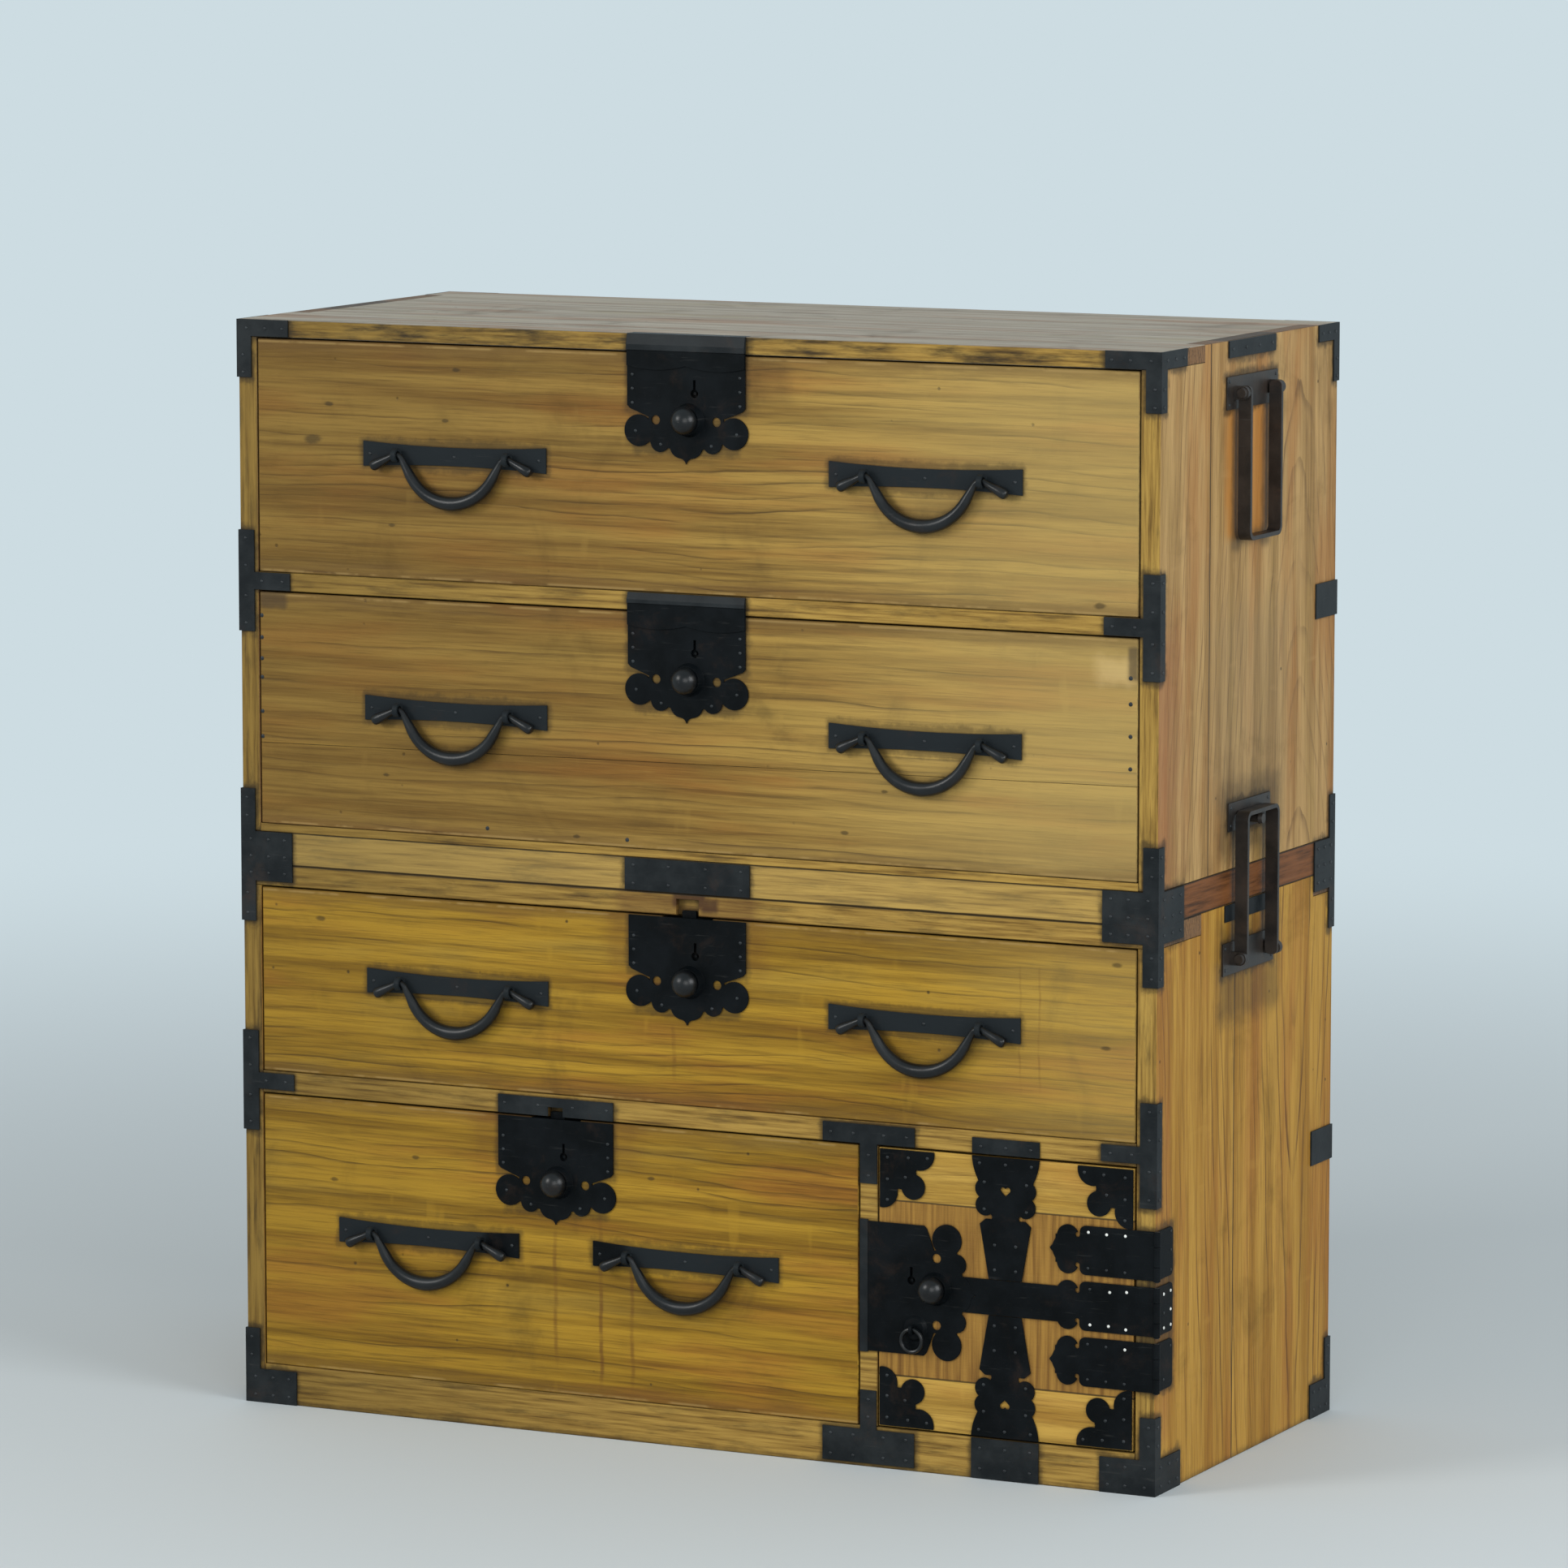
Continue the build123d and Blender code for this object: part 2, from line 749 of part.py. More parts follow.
def strap_bail(sign, pivot_z, direction, lean):
    """A U-shaped strap handle, hanging (direction -1) or stowed upright (1)."""
    pivot_x = sign * (side_x + strap_pivot_out + lean)
    strap_x = strap_pivot_out - strap_breadth / 2
    inner_half = strap_half_width - strap_thickness
    overrun = strap_breadth / 2
    with BuildPart() as bail:
        with BuildSketch(side_plane(sign, 0, pivot_z, strap_x)) as outline:
            with Locations((0, direction * (strap_length - overrun) / 2)):
                Rectangle(2 * strap_half_width, strap_length + overrun)
            fillet(outline.vertices().sort_by(Axis.Y)[::direction][-2:], strap_corner_radius)
            with Locations((0, direction * (strap_length - strap_thickness - overrun) / 2)):
                Rectangle(2 * inner_half, strap_length - strap_thickness + overrun, mode=Mode.SUBTRACT)
        extrude(amount=strap_breadth)
        inner_corners = (
            bail.edges()
            .filter_by(Axis.X)
            .filter_by(lambda edge: abs(abs(edge.center().Y) - inner_half) < 0.01)
            .sort_by(Axis.Z)[::direction][-2:]
        )
        fillet(inner_corners, strap_corner_radius - strap_thickness)
        leg_ends = bail.edges().filter_by(Axis.Y).sort_by(Axis.Z)[::direction][:4]
        fillet(leg_ends, overrun * 0.8)
        for end in (-1, 1):
            root = end * (strap_half_width - iron)
            length = iron + side_eye_gap + side_eye_width + loose_clearance
            pin_plane = Plane(origin=(pivot_x, root, pivot_z), x_dir=(1, 0, 0), z_dir=(0, end, 0))
            with BuildSketch(pin_plane):
                Circle(strap_pin_radius)
            extrude(amount=length)
            with BuildSketch(pin_plane.offset(length)):
                Circle(strap_pin_head)
            extrude(amount=strap_pin_head / 2, taper=20)
    return bail.part


for sign, hand in ((-1, "left"), (1, "right")):
    save(strap_bail(sign, upper_side_plate_centre, -1, 0), f"upper_{hand}_bail")
    save(strap_bail(sign, lower_side_plate_centre, 1, strap_lean), f"lower_{hand}_bail")


def tie_plate(sign):
    """A plate with a headed stud inside the stowed bail's loop, to tie the sections."""
    with BuildPart() as plate:
        with BuildSketch(side_plane(sign, 0, tie_stud_z + tie_plate_rise)):
            Rectangle(tie_plate_width, tie_plate_height)
        extrude(amount=iron)
        with BuildSketch(side_plane(sign, 0, tie_stud_z)):
            Circle(tie_stud_radius)
        extrude(amount=tie_stud_length)
        with BuildSketch(side_plane(sign, 0, tie_stud_z, tie_stud_length - 4)):
            Circle(tie_stud_head)
        extrude(amount=4, taper=12)
    return plate.part


upper_plates = [side_handle_plate(sign, upper_side_plate_centre, 0) for sign in (-1, 1)]
upper_plates += [tie_plate(sign) for sign in (-1, 1)]
save_group(upper_plates, "upper_handle_plates")
lower_plates = [side_handle_plate(sign, lower_side_plate_centre, strap_lean) for sign in (-1, 1)]
save_group(lower_plates, "lower_handle_plates")


# ---------------------------------------------------------------- locks


def lock_outline(lead, keyhole_turn):
    """The lock plate's outline, with its eyes and keyhole; its top edge is lead above y = 0."""
    half = lock_width / 2
    with BuildSketch(Plane.XY) as outline:
        with BuildLine():
            Polyline(
                (-half, lead),
                (half, lead),
                (half, -lock_body_height + lock_corner_round / 2),
                (half - lock_corner_round, -lock_body_height - lock_corner_round / 2),
                (lock_waist_half, -lock_waist_height),
                (lock_waist_half, -lock_petal_drop),
                (lock_tip_half, -lock_tip_shoulder),
                (-lock_tip_half, -lock_tip_shoulder),
                (-lock_waist_half, -lock_petal_drop),
                (-lock_waist_half, -lock_waist_height),
                (-half + lock_corner_round, -lock_body_height - lock_corner_round / 2),
                (-half, -lock_body_height + lock_corner_round / 2),
                close=True,
            )
        make_face()
        with Locations((-lock_lobe_spread, -lock_lobe_drop), (lock_lobe_spread, -lock_lobe_drop)):
            Circle(lock_lobe_radius)
        with Locations((-lock_petal_spread, -lock_petal_drop), (lock_petal_spread, -lock_petal_drop)):
            Circle(lock_petal_radius)
        with BuildLine():
            right = ThreePointArc(
                (lock_tip_half, -lock_tip_shoulder),
                (lock_tip_half * 0.8, -lock_tip_neck_drop + 3.2),
                (lock_tip_neck, -lock_tip_neck_drop),
            )
            flick = ThreePointArc(
                right @ 1, (lock_tip_neck * 0.36, -lock_tip_neck_drop - 1.7), (0, -lock_tip_drop)
            )
            mirror(right, about=Plane.YZ)
            mirror(flick, about=Plane.YZ)
            Line((-lock_tip_half, -lock_tip_shoulder), (lock_tip_half, -lock_tip_shoulder))
        make_face()
        with Locations((-lock_eye_spread, -lock_eye_drop), (lock_eye_spread, -lock_eye_drop)):
            Circle(lock_eye_radius, mode=Mode.SUBTRACT)
        with Locations((button_offset, -button_drop)):
            Circle(neck_radius + running_clearance, mode=Mode.SUBTRACT)
        add(keyhole_outline(keyhole_turn), mode=Mode.SUBTRACT)
    return outline.sketch


def keyhole_outline(turn):
    """A keyhole whose slot points up the plate, or is turned clockwise by some degrees."""
    with BuildSketch(Plane.XY) as outline:
        with Locations(Location((keyhole_offset, -keyhole_drop, 0), (0, 0, -turn))):
            Rectangle(keyhole_slot, keyhole_slot_length, align=(Align.CENTER, Align.MIN))
            Circle(keyhole_radius)
    return outline.sketch


def lock_plate(datum, lead=0.0, keyhole_turn=0):
    """A lock plate with its collar; datum is the edge of the lock's case behind it."""
    with BuildPart() as plate:
        with BuildSketch(datum):
            add(lock_outline(lead, keyhole_turn))
        extrude(amount=iron)
        with BuildSketch(datum.offset(iron)):
            with Locations((button_offset, -button_drop)):
                Circle(collar_radius)
        extrude(amount=collar_height, taper=collar_taper)
        with BuildSketch(datum):
            with Locations((button_offset, -button_drop)):
                Circle(neck_radius + running_clearance)
        extrude(amount=iron + collar_height, mode=Mode.SUBTRACT)
    return plate.part


def doubler(datum, lead):
    """The upper doubling plate, whose lower edge is two shallow waves and a cusp."""
    half = lock_width / 2
    quarter = half / 2
    with BuildPart() as plate:
        with BuildSketch(datum.offset(iron)):
            with BuildLine():
                Polyline((-half, -doubler_height), (-half, lead), (half, lead), (half, -doubler_height))
                cusp = (0, -doubler_height + 1)
                for side in (-1, 1):
                    wave = (side * quarter, -doubler_height - doubler_rise)
                    ThreePointArc((side * half, -doubler_height), wave, cusp)
            make_face()
        extrude(amount=iron)
    return plate.part


def lock_case(datum, reach, keyhole_turn=0):
    """The lock's block behind the plate, with the bolt's slot; reach is its top end."""
    with BuildPart() as case:
        with BuildSketch(datum):
            with Locations((0, reach)):
                Rectangle(lock_case_width, lock_case_height + reach, align=(Align.CENTER, Align.MAX))
        extrude(amount=-lock_case_depth)
        with BuildSketch(datum):
            with Locations((button_offset, -button_drop)):
                Circle(neck_radius + running_clearance)
        extrude(amount=-(neck_tail + button_travel + 0.5), mode=Mode.SUBTRACT)
        with BuildSketch(datum):
            add(keyhole_outline(keyhole_turn))
            with Locations((keyhole_offset, -keyhole_drop)):
                Circle(keyhole_post_radius, mode=Mode.SUBTRACT)
        extrude(amount=-keyhole_depth, mode=Mode.SUBTRACT)
        with BuildSketch(datum.offset(-bolt_pocket_setback)):
            with Locations((0, reach)):
                Rectangle(
                    bolt_pocket_width,
                    bolt_length + bolt_recess + reach,
                    align=(Align.CENTER, Align.MAX),
                )
        extrude(amount=-bolt_pocket_depth, mode=Mode.SUBTRACT)
    return case.part


def push_button(datum):
    """The lock's push button: a domed head on a neck that slides in the collar."""
    outwards = datum.z_dir
    centre = datum.from_local_coords(Vector(button_offset, -button_drop, 0))
    profile_plane = Plane(origin=centre, x_dir=datum.x_dir, z_dir=datum.x_dir.cross(outwards))
    seat = iron + collar_height + button_travel + 0.2
    sphere_radius = (dome_radius**2 + dome_height**2) / (2 * dome_height)
    with BuildPart() as button:
        with BuildSketch(profile_plane):
            with BuildLine():
                Polyline(
                    (0, seat + dome_height),
                    (0, -neck_tail),
                    (neck_radius, -neck_tail),
                    (neck_radius, seat),
                    (dome_radius, seat),
                )
                RadiusArc((0, seat + dome_height), (dome_radius, seat), sphere_radius)
            make_face()
        revolve(axis=Axis(centre, outwards))
    return button.part


def lock_bolt(datum, reach):
    """The flat bolt; reach is how far its tip stands past the datum's edge at rest."""
    with BuildPart() as bolt:
        with BuildSketch(datum.offset(-bolt_setback)) as tongue:
            with Locations((0, reach)):
                Rectangle(bolt_width, bolt_length + reach, align=(Align.CENTER, Align.MAX))
            fillet(tongue.vertices(), 1.2)
        extrude(amount=-bolt_thickness)
    return bolt.part


# ---------------------------------------------------------------- drawer handles


def handle_plate(x, z):
    """A waisted handle plate with the two eyes that carry the bail."""
    half = handle_plate_width / 2
    end = handle_plate_height / 2
    waist = handle_plate_waist / 2
    with BuildPart() as plate:
        with BuildSketch(front_plane(x, z)):
            with BuildLine():
                ThreePointArc((-half, end), (0, waist), (half, end))
                Line((half, end), (half, -end))
                ThreePointArc((half, -end), (0, -waist), (-half, -end))
                Line((-half, -end), (-half, end))
            make_face()
        extrude(amount=iron)
        for side in (-1, 1):
            eye_plane = Plane(
                origin=(x + side * eye_spread - eye_width / 2, front_y, z), x_dir=(0, -1, 0), z_dir=(1, 0, 0)
            )
            with BuildSketch(eye_plane):
                with Locations((handle_pivot_out, 0)):
                    Circle(eye_radius)
                Rectangle(handle_pivot_out, eye_radius * 1.2, align=(Align.MIN, Align.CENTER))
                with Locations((handle_pivot_out, 0)):
                    Circle(eye_hole_radius, mode=Mode.SUBTRACT)
            extrude(amount=eye_width)
            with BuildSketch(eye_plane):
                with Locations((handle_pivot_out, 0)):
                    Circle(eye_hole_radius)
            extrude(amount=eye_width, mode=Mode.SUBTRACT)
    return plate.part


def bow_bail():
    """A forged bail with its pivot line through the origin, its tails flared past the eyes."""
    rise = 1 - cos(radians(bow_slope))
    run = sin(radians(bow_slope))
    grade = tan(radians(bow_slope))
    both_radii = (grade * eye_spread - bow_drop) / (grade * run - rise)
    straight = (eye_spread - both_radii * run) / cos(radians(bow_slope))
    with BuildLine(Plane.XZ):
        bow = JernArc((0, -bow_drop), (1, 0), both_radii - eye_bend_radius, bow_slope)
        rod = PolarLine(bow @ 1, straight, bow_slope)
        bend = JernArc(rod @ 1, rod % 1, eye_bend_radius, -bow_slope - tail_slope)
        tail = PolarLine(bend @ 1, tail_length, -tail_slope)
    swell = bow_middle_radius - bow_shoulder_radius
    stations = [(bow, share, bow_middle_radius - swell * share) for share in (0.4, 0.75, 1)]
    stations += [(bend, share, bow_eye_radius) for share in (0, 0.25, 0.5, 0.75, 1)]
    stations.append((tail, 1, bow_tail_radius))
    rings = [(bow @ 0, bow % 0, bow_middle_radius)]
    for edge, share, radius in stations:
        point = edge @ share
        heading = edge % share
        rings.append((point, heading, radius))
        mirrored_point = Vector(-point.X, point.Y, point.Z)
        mirrored_heading = Vector(heading.X, heading.Y, -heading.Z)
        rings.insert(0, (mirrored_point, mirrored_heading, radius))
    with BuildPart() as bail:
        for point, heading, radius in rings:
            with BuildSketch(Plane(origin=point, x_dir=(0, 1, 0), z_dir=heading)):
                RegularPolygon(radius, bow_flats)
        loft(ruled=True)
    return bail.part


# ---------------------------------------------------------------- drawers


def drawer_wall_height(drawer):
    return drawer.top - drawer_wall_drop - drawer.base - drawer_bottom_thickness


def drawer_front(drawer):
    """The front board (two boards on drawer 2), with the pocket for the lock case."""
    left = drawer.left + drawer_side_gap
    right = drawer.right - drawer_side_gap
    with BuildPart() as front:
        y_range = (front_y, front_y + drawer_front_thickness)
        add(board((left, right), y_range, (drawer.base, drawer.top), board_ease))
        with BuildSketch(front_plane(drawer.middle, drawer.top - lock_inset)):
            with Locations((0, lock_inset)):
                Rectangle(
                    lock_case_width + 2 * lock_case_gap,
                    lock_case_height + lock_case_gap + lock_inset,
                    align=(Align.CENTER, Align.MAX),
                )
        extrude(amount=-(lock_case_depth + lock_case_gap), mode=Mode.SUBTRACT)
        # Rebates behind both ends, which the drawer's sides are nailed into
        wall_low = drawer.base + drawer_bottom_thickness
        with BuildSketch(front_plane(drawer.middle, wall_low, -drawer_front_thickness)):
            for end in (left - drawer.middle, right - drawer.middle):
                with Locations((end, 0)):
                    Rectangle(2 * drawer_wall, drawer_wall_height(drawer), align=(Align.CENTER, Align.MIN))
        extrude(amount=drawer_lap, mode=Mode.SUBTRACT)
        if drawer.split:
            seam_z = drawer.low + (drawer.high - drawer.low) * split_front_share
            with BuildSketch(front_plane(drawer.middle, seam_z)):
                Polygon(
                    (left - drawer.middle, -split_front_rise / 2 - split_front_gap / 2),
                    (right - drawer.middle, split_front_rise / 2 - split_front_gap / 2),
                    (right - drawer.middle, split_front_rise / 2 + split_front_gap / 2),
                    (left - drawer.middle, -split_front_rise / 2 + split_front_gap / 2),
                    align=None,
                )
            extrude(amount=-drawer_front_thickness, mode=Mode.SUBTRACT)
    return front.part


def drawer_box(drawer):
    """Sides, back and bottom of a drawer, behind its front board."""
    left = drawer.left + drawer_side_gap
    right = drawer.right - drawer_side_gap
    start = front_y + drawer_front_thickness
    end = back_face_y - drawer_back_gap
    floor = drawer.base + drawer_bottom_thickness
    wall_top = floor + drawer_wall_height(drawer)
    return [
        board((left, right), (start, end), (drawer.base, floor)),
        board((left, left + drawer_wall), (start - drawer_lap, end), (floor, wall_top)),
        board((right - drawer_wall, right), (start - drawer_lap, end), (floor, wall_top)),
        board((left + drawer_wall, right - drawer_wall), (end - drawer_wall, end), (floor, wall_top)),
    ]


bail = bow_bail()
for drawer in drawers:
    datum = front_plane(drawer.middle, drawer.top - lock_inset)
    save(drawer_front(drawer), f"{drawer.name}_front")
    save_group(drawer_box(drawer), f"{drawer.name}_box")
    irons = [lock_plate(datum, drawer.lock_lead), lock_case(datum, 0)]
    if drawer.overlap:
        irons.append(doubler(datum, drawer.lock_lead))
    irons += [handle_plate(x, drawer.handle_z) for x in drawer.handle_xs.values()]
    save_group(irons, f"{drawer.name}_irons")
    save(push_button(datum), f"{drawer.name}_button")
    save(lock_bolt(datum, drawer.tab + lock_inset), f"{drawer.name}_bolt")
    for hand, x in drawer.handle_xs.items():
        place = Location((x, front_y - handle_pivot_out, drawer.handle_z))
        save(bail.moved(place), f"{drawer.name}_{hand}_bail")


# ---------------------------------------------------------------- door

door_lock_x = upright_left + iron_margin + door_strip_width + keeper_gap + door_lock_lead
door_lock_datum = Plane(origin=(door_lock_x, door_front_y, door_middle_z), x_dir=(0, 0, 1), z_dir=(0, -1, 0))
door_case_reach = door_lock_x - door_left

with BuildPart() as door_panel:
    add(
        board(
            (door_left, door_right),
            (door_front_y, door_front_y + door_thickness),
            (door_low + door_batten_height, door_high - door_batten_height),
        )
    )
    with BuildSketch(door_lock_datum):
        with Locations((0, door_case_reach)):
            Rectangle(
                lock_case_width + 2 * lock_case_gap,
                lock_case_height + lock_case_gap + door_case_reach,
                align=(Align.CENTER, Align.MAX),
            )
    extrude(amount=-(lock_case_depth + lock_case_gap), mode=Mode.SUBTRACT)
battens = [
    board((door_left, door_right), (door_front_y, door_front_y + door_thickness), z_range)
    for z_range in (
        (door_low, door_low + door_batten_height),
        (door_high - door_batten_height, door_high),
    )
]
save_group([door_panel.part] + battens, "door_boards")
save(push_button(door_lock_datum), "door_button")
save(lock_bolt(door_lock_datum, door_case_reach - bolt_recess), "door_bolt")


def corner_ornament():
    """A scalloped corner plate in the first quadrant, its corner at the origin."""
    root = (ornament_lobe_centre - 1.5, ornament_petal_centre - ornament_petal_radius - 2)
    web = ornament_petal_centre + 3
    with BuildSketch(Plane.XY) as plate:
        Rectangle(web, web, align=(Align.MIN, Align.MIN))
        with Locations((ornament_lobe_centre, 3), (3, ornament_lobe_centre)):
            Circle(ornament_lobe_radius)
        with Locations((ornament_petal_centre, ornament_petal_centre)):
            Circle(ornament_petal_radius)
        Rectangle(ornament_side, ornament_side, align=(Align.MIN, Align.MIN), mode=Mode.INTERSECT)
        with Locations(root, (root[1], root[0])):
            Circle(ornament_hole_radius, mode=Mode.SUBTRACT)
    return plate.sketch


def band_half():
    """The upper half of the door's centre band; y runs down from the door's top edge."""
    half_height = (door_high - door_low) / 2
    with BuildSketch(Plane.XY) as band:
        with BuildLine():
            top = Polyline((-band_top_half, 0), (band_top_half, 0))
            right = ThreePointArc(top @ 1, (band_top_half - 1.5, -10), (band_top_half - 6, -22))
            left = ThreePointArc(top @ 0, (-band_top_half + 1.5, -10), (-band_top_half + 6, -22))
            Polyline(right @ 1, (14, -band_foot_drop), (-14, -band_foot_drop), left @ 1)
        make_face()
        for side in (-1, 1):
            with Locations((side * 21.5, -31), (side * 21, -47)):
                Circle(band_petal_radius)
        with Locations((0, -band_foot_drop)):
            Rectangle(28, 12)
        with BuildLine():
            Polyline(
                (-band_shoulder_half, -65),
                (-band_shoulder_half + 6, -60),
                (band_shoulder_half - 6, -60),
                (band_shoulder_half, -65),
                (band_waist_half, -half_height + strap_band_height / 2 + iron_margin),
                (-band_waist_half, -half_height + strap_band_height / 2 + iron_margin),
                close=True,
            )
        make_face()
        with Locations((-2.5, -31), (2.5, -31)):
            Circle(2.8, mode=Mode.SUBTRACT)
        Polygon((-5.1, -32.2), (5.1, -32.2), (0, -37.2), align=None, mode=Mode.SUBTRACT)
        for side in (-1, 1):
            with Locations((side * 16, -band_foot_drop - 1)):
                Circle(2.3, mode=Mode.SUBTRACT)
    return band.sketch


with BuildPart() as door_ornaments:
    near = ornament_setback
    for x, z, x_dir, y_dir in (
        (door_left + near, door_low + near, 1, 1),
        (door_right - near, door_low + near, -1, 1),
        (door_left + near, door_high - near, 1, -1),
        (door_right - near, door_high - near, -1, -1),
    ):
        with BuildSketch(front_plane(x, z, door_proud)):
            ornament = corner_ornament()
            if x_dir < 0:
                ornament = mirror(ornament, about=Plane.YZ, mode=Mode.PRIVATE)
            if y_dir < 0:
                ornament = mirror(ornament, about=Plane.XZ, mode=Mode.PRIVATE)
            add(ornament)
        extrude(amount=iron)
    with BuildSketch(front_plane(door_middle_x, door_high, door_proud)):
        add(band_half())
    extrude(amount=iron)
    with BuildSketch(front_plane(door_middle_x, door_low, door_proud)):
        add(mirror(band_half(), about=Plane.XZ, mode=Mode.PRIVATE))
    extrude(amount=iron)
save(door_ornaments.part, "door_ornaments")


def leaf_outline(strap):
    """A moving hinge leaf: x runs from the hinge axis across the door (negative)."""
    half = hinge_height / 2
    with BuildSketch(Plane.XY) as leaf:
        with BuildLine():
            FilletPolyline(
                (0, half), (-leaf_root, half), (-leaf_root, -half), (0, -half), radius=6
            )
            Line((0, -half), (0, half))
        make_face()
        with Locations((-leaf_lobe_centre, leaf_lobe_spread), (-leaf_lobe_centre, -leaf_lobe_spread)):
            Circle(leaf_lobe_radius)
        with Locations((-leaf_lobe_centre, 0)):
            Rectangle(2 * (leaf_lobe_centre - leaf_root), 2 * leaf_lobe_spread + 2)
        with BuildLine():
            base = -leaf_lobe_centre - 5
            upper = ThreePointArc((base, 16), (base - 7.5, 9.5), (-leaf_tip + 3, 3.5))
            point = ThreePointArc(upper @ 1, (-leaf_tip + 1.2, 1.5), (-leaf_tip, 0))
            mirror(upper, about=Plane.XZ)
            mirror(point, about=Plane.XZ)
            Line((base, -16), (base, 16))
        make_face()
        with Locations((-leaf_root - 2.4, leaf_lobe_spread + 2), (-leaf_root - 2.4, -leaf_lobe_spread - 2)):
            Circle(leaf_hole_radius, mode=Mode.SUBTRACT)
        if strap:
            with Locations((-leaf_lobe_centre, 0)):
                Rectangle(strap, strap_band_height, align=(Align.MAX, Align.CENTER))
    return leaf.sketch


knuckle_height = hinge_height * knuckle_share
fixed_knuckle_height = (hinge_height - knuckle_height) / 2 - knuckle_gap
knuckle_clear_radius = knuckle_radius + 0.5
hinge_levels = [door_middle_z + step * hinge_pitch for step in (1, 0, -1)]
lock_reach = door_lock_x + lock_tip_drop


def moving_leaf(z, strap):
    """A hinge leaf on the door, over the case's stile to its knuckle."""
    with BuildPart() as leaf:
        with BuildSketch(front_plane(hinge_x, z, door_proud)):
            add(leaf_outline(strap))
            if strap:
                with BuildSketch(mode=Mode.PRIVATE) as plate:
                    add(lock_outline(door_lock_lead, door_keyhole_turn))
                turned = plate.sketch.rotate(Axis.Z, 90)
                gap_outline = offset(
                    turned.moved(Location((door_lock_x - hinge_x, 0, 0))), amount=0.2, mode=Mode.PRIVATE
                )
                add(gap_outline, mode=Mode.SUBTRACT)
        extrude(amount=iron)
        for step in (-1, 1):
            low = z - hinge_height / 2 if step < 0 else z + knuckle_height / 2
            height = fixed_knuckle_height + knuckle_gap
            with BuildSketch(Plane(origin=(hinge_x, hinge_y, low - (step < 0)), z_dir=(0, 0, 1))):
                Circle(knuckle_clear_radius)
                with Locations((-knuckle_clear_radius, 0)):
                    clear = 2 * knuckle_clear_radius
                    Rectangle(clear, clear, align=(Align.MIN, Align.CENTER))
            extrude(amount=height + 1, mode=Mode.SUBTRACT)
        with BuildSketch(Plane(origin=(hinge_x, hinge_y, z - knuckle_height / 2), z_dir=(0, 0, 1))):
            Circle(knuckle_radius)
        extrude(amount=knuckle_height)
        with BuildSketch(Plane(origin=(hinge_x, hinge_y, z - knuckle_height / 2), z_dir=(0, 0, 1))):
            Circle(hinge_pin_radius + running_clearance)
        extrude(amount=knuckle_height, mode=Mode.SUBTRACT)
    return leaf.part


def fixed_leaf(z):
    """A hinge leaf on the case's side face, with a knuckle at each end."""
    with BuildPart() as leaf:
        with BuildSketch(side_plane(1, front_y, z)):
            Rectangle(leaf_side_reach, hinge_height, align=(Align.MIN, Align.CENTER))
            Rectangle(
                2 * (knuckle_clear_radius - hinge_axis_out),
                knuckle_height + 2 * knuckle_gap,
                mode=Mode.SUBTRACT,
            )
        extrude(amount=iron)
        for low in (z - hinge_height / 2, z + hinge_height / 2 - fixed_knuckle_height):
            with BuildSketch(Plane(origin=(hinge_x, hinge_y, low), z_dir=(0, 0, 1))):
                Circle(knuckle_radius)
                with Locations((-hinge_axis_out, 0)):
                    Rectangle(iron, hinge_axis_out + 1, align=(Align.MIN, Align.MIN))
            extrude(amount=fixed_knuckle_height)
            with BuildSketch(Plane(origin=(hinge_x, hinge_y, low), z_dir=(0, 0, 1))):
                Circle(hinge_pin_radius + running_clearance)
            extrude(amount=fixed_knuckle_height, mode=Mode.SUBTRACT)
    return leaf.part


def hinge_pin(z):
    """A hinge pin with a peened head at each end."""
    with BuildPart() as pin:
        with BuildSketch(Plane(origin=(hinge_x, hinge_y, z - hinge_height / 2), z_dir=(0, 0, 1))):
            Circle(hinge_pin_radius)
        extrude(amount=hinge_height)
        for low in (z - hinge_height / 2 - hinge_pin_head, z + hinge_height / 2):
            with BuildSketch(Plane(origin=(hinge_x, hinge_y, low), z_dir=(0, 0, 1))):
                Circle(hinge_pin_radius + 0.7)
            extrude(amount=hinge_pin_head)
    return pin.part


strap_span = hinge_x - leaf_lobe_centre - lock_reach + 24
save_group(
    [moving_leaf(z, strap_span if z == door_middle_z else 0) for z in hinge_levels], "door_hinge_leaves"
)
save_group([fixed_leaf(z) for z in hinge_levels], "case_hinge_leaves")
save_group([hinge_pin(z) for z in hinge_levels], "door_hinge_pins")

ring_x = door_lock_x + ring_along
ring_z = door_middle_z - ring_drop
ring_pivot_y = door_front_y - iron - ring_eye_out
ring_seat = (ring_x, door_front_y - iron, ring_z)
ring_eye_plane = Plane(origin=ring_seat, x_dir=(0, -1, 0), z_dir=(1, 0, 0))
with BuildPart() as ring_rosette:
    with BuildSketch(Plane(origin=ring_seat, x_dir=(1, 0, 0), z_dir=(0, -1, 0))):
        Circle(rosette_radius)
    extrude(amount=rosette_height, taper=40)
    with BuildSketch(ring_eye_plane):
        with Locations((ring_eye_out, 0)):
            Circle(ring_eye_radius)
        Rectangle(ring_eye_out, ring_eye_radius * 1.4, align=(Align.MIN, Align.CENTER))
    extrude(amount=ring_eye_width / 2, both=True)
    with BuildSketch(ring_eye_plane):
        with Locations((ring_eye_out, 0)):
            Circle(ring_eye_hole)
    extrude(amount=ring_eye_width, both=True, mode=Mode.SUBTRACT)
save_group(
    [
        lock_plate(door_lock_datum, door_lock_lead, door_keyhole_turn),
        lock_case(door_lock_datum, door_case_reach, door_keyhole_turn),
        ring_rosette.part,
    ],
    "door_lock",
)

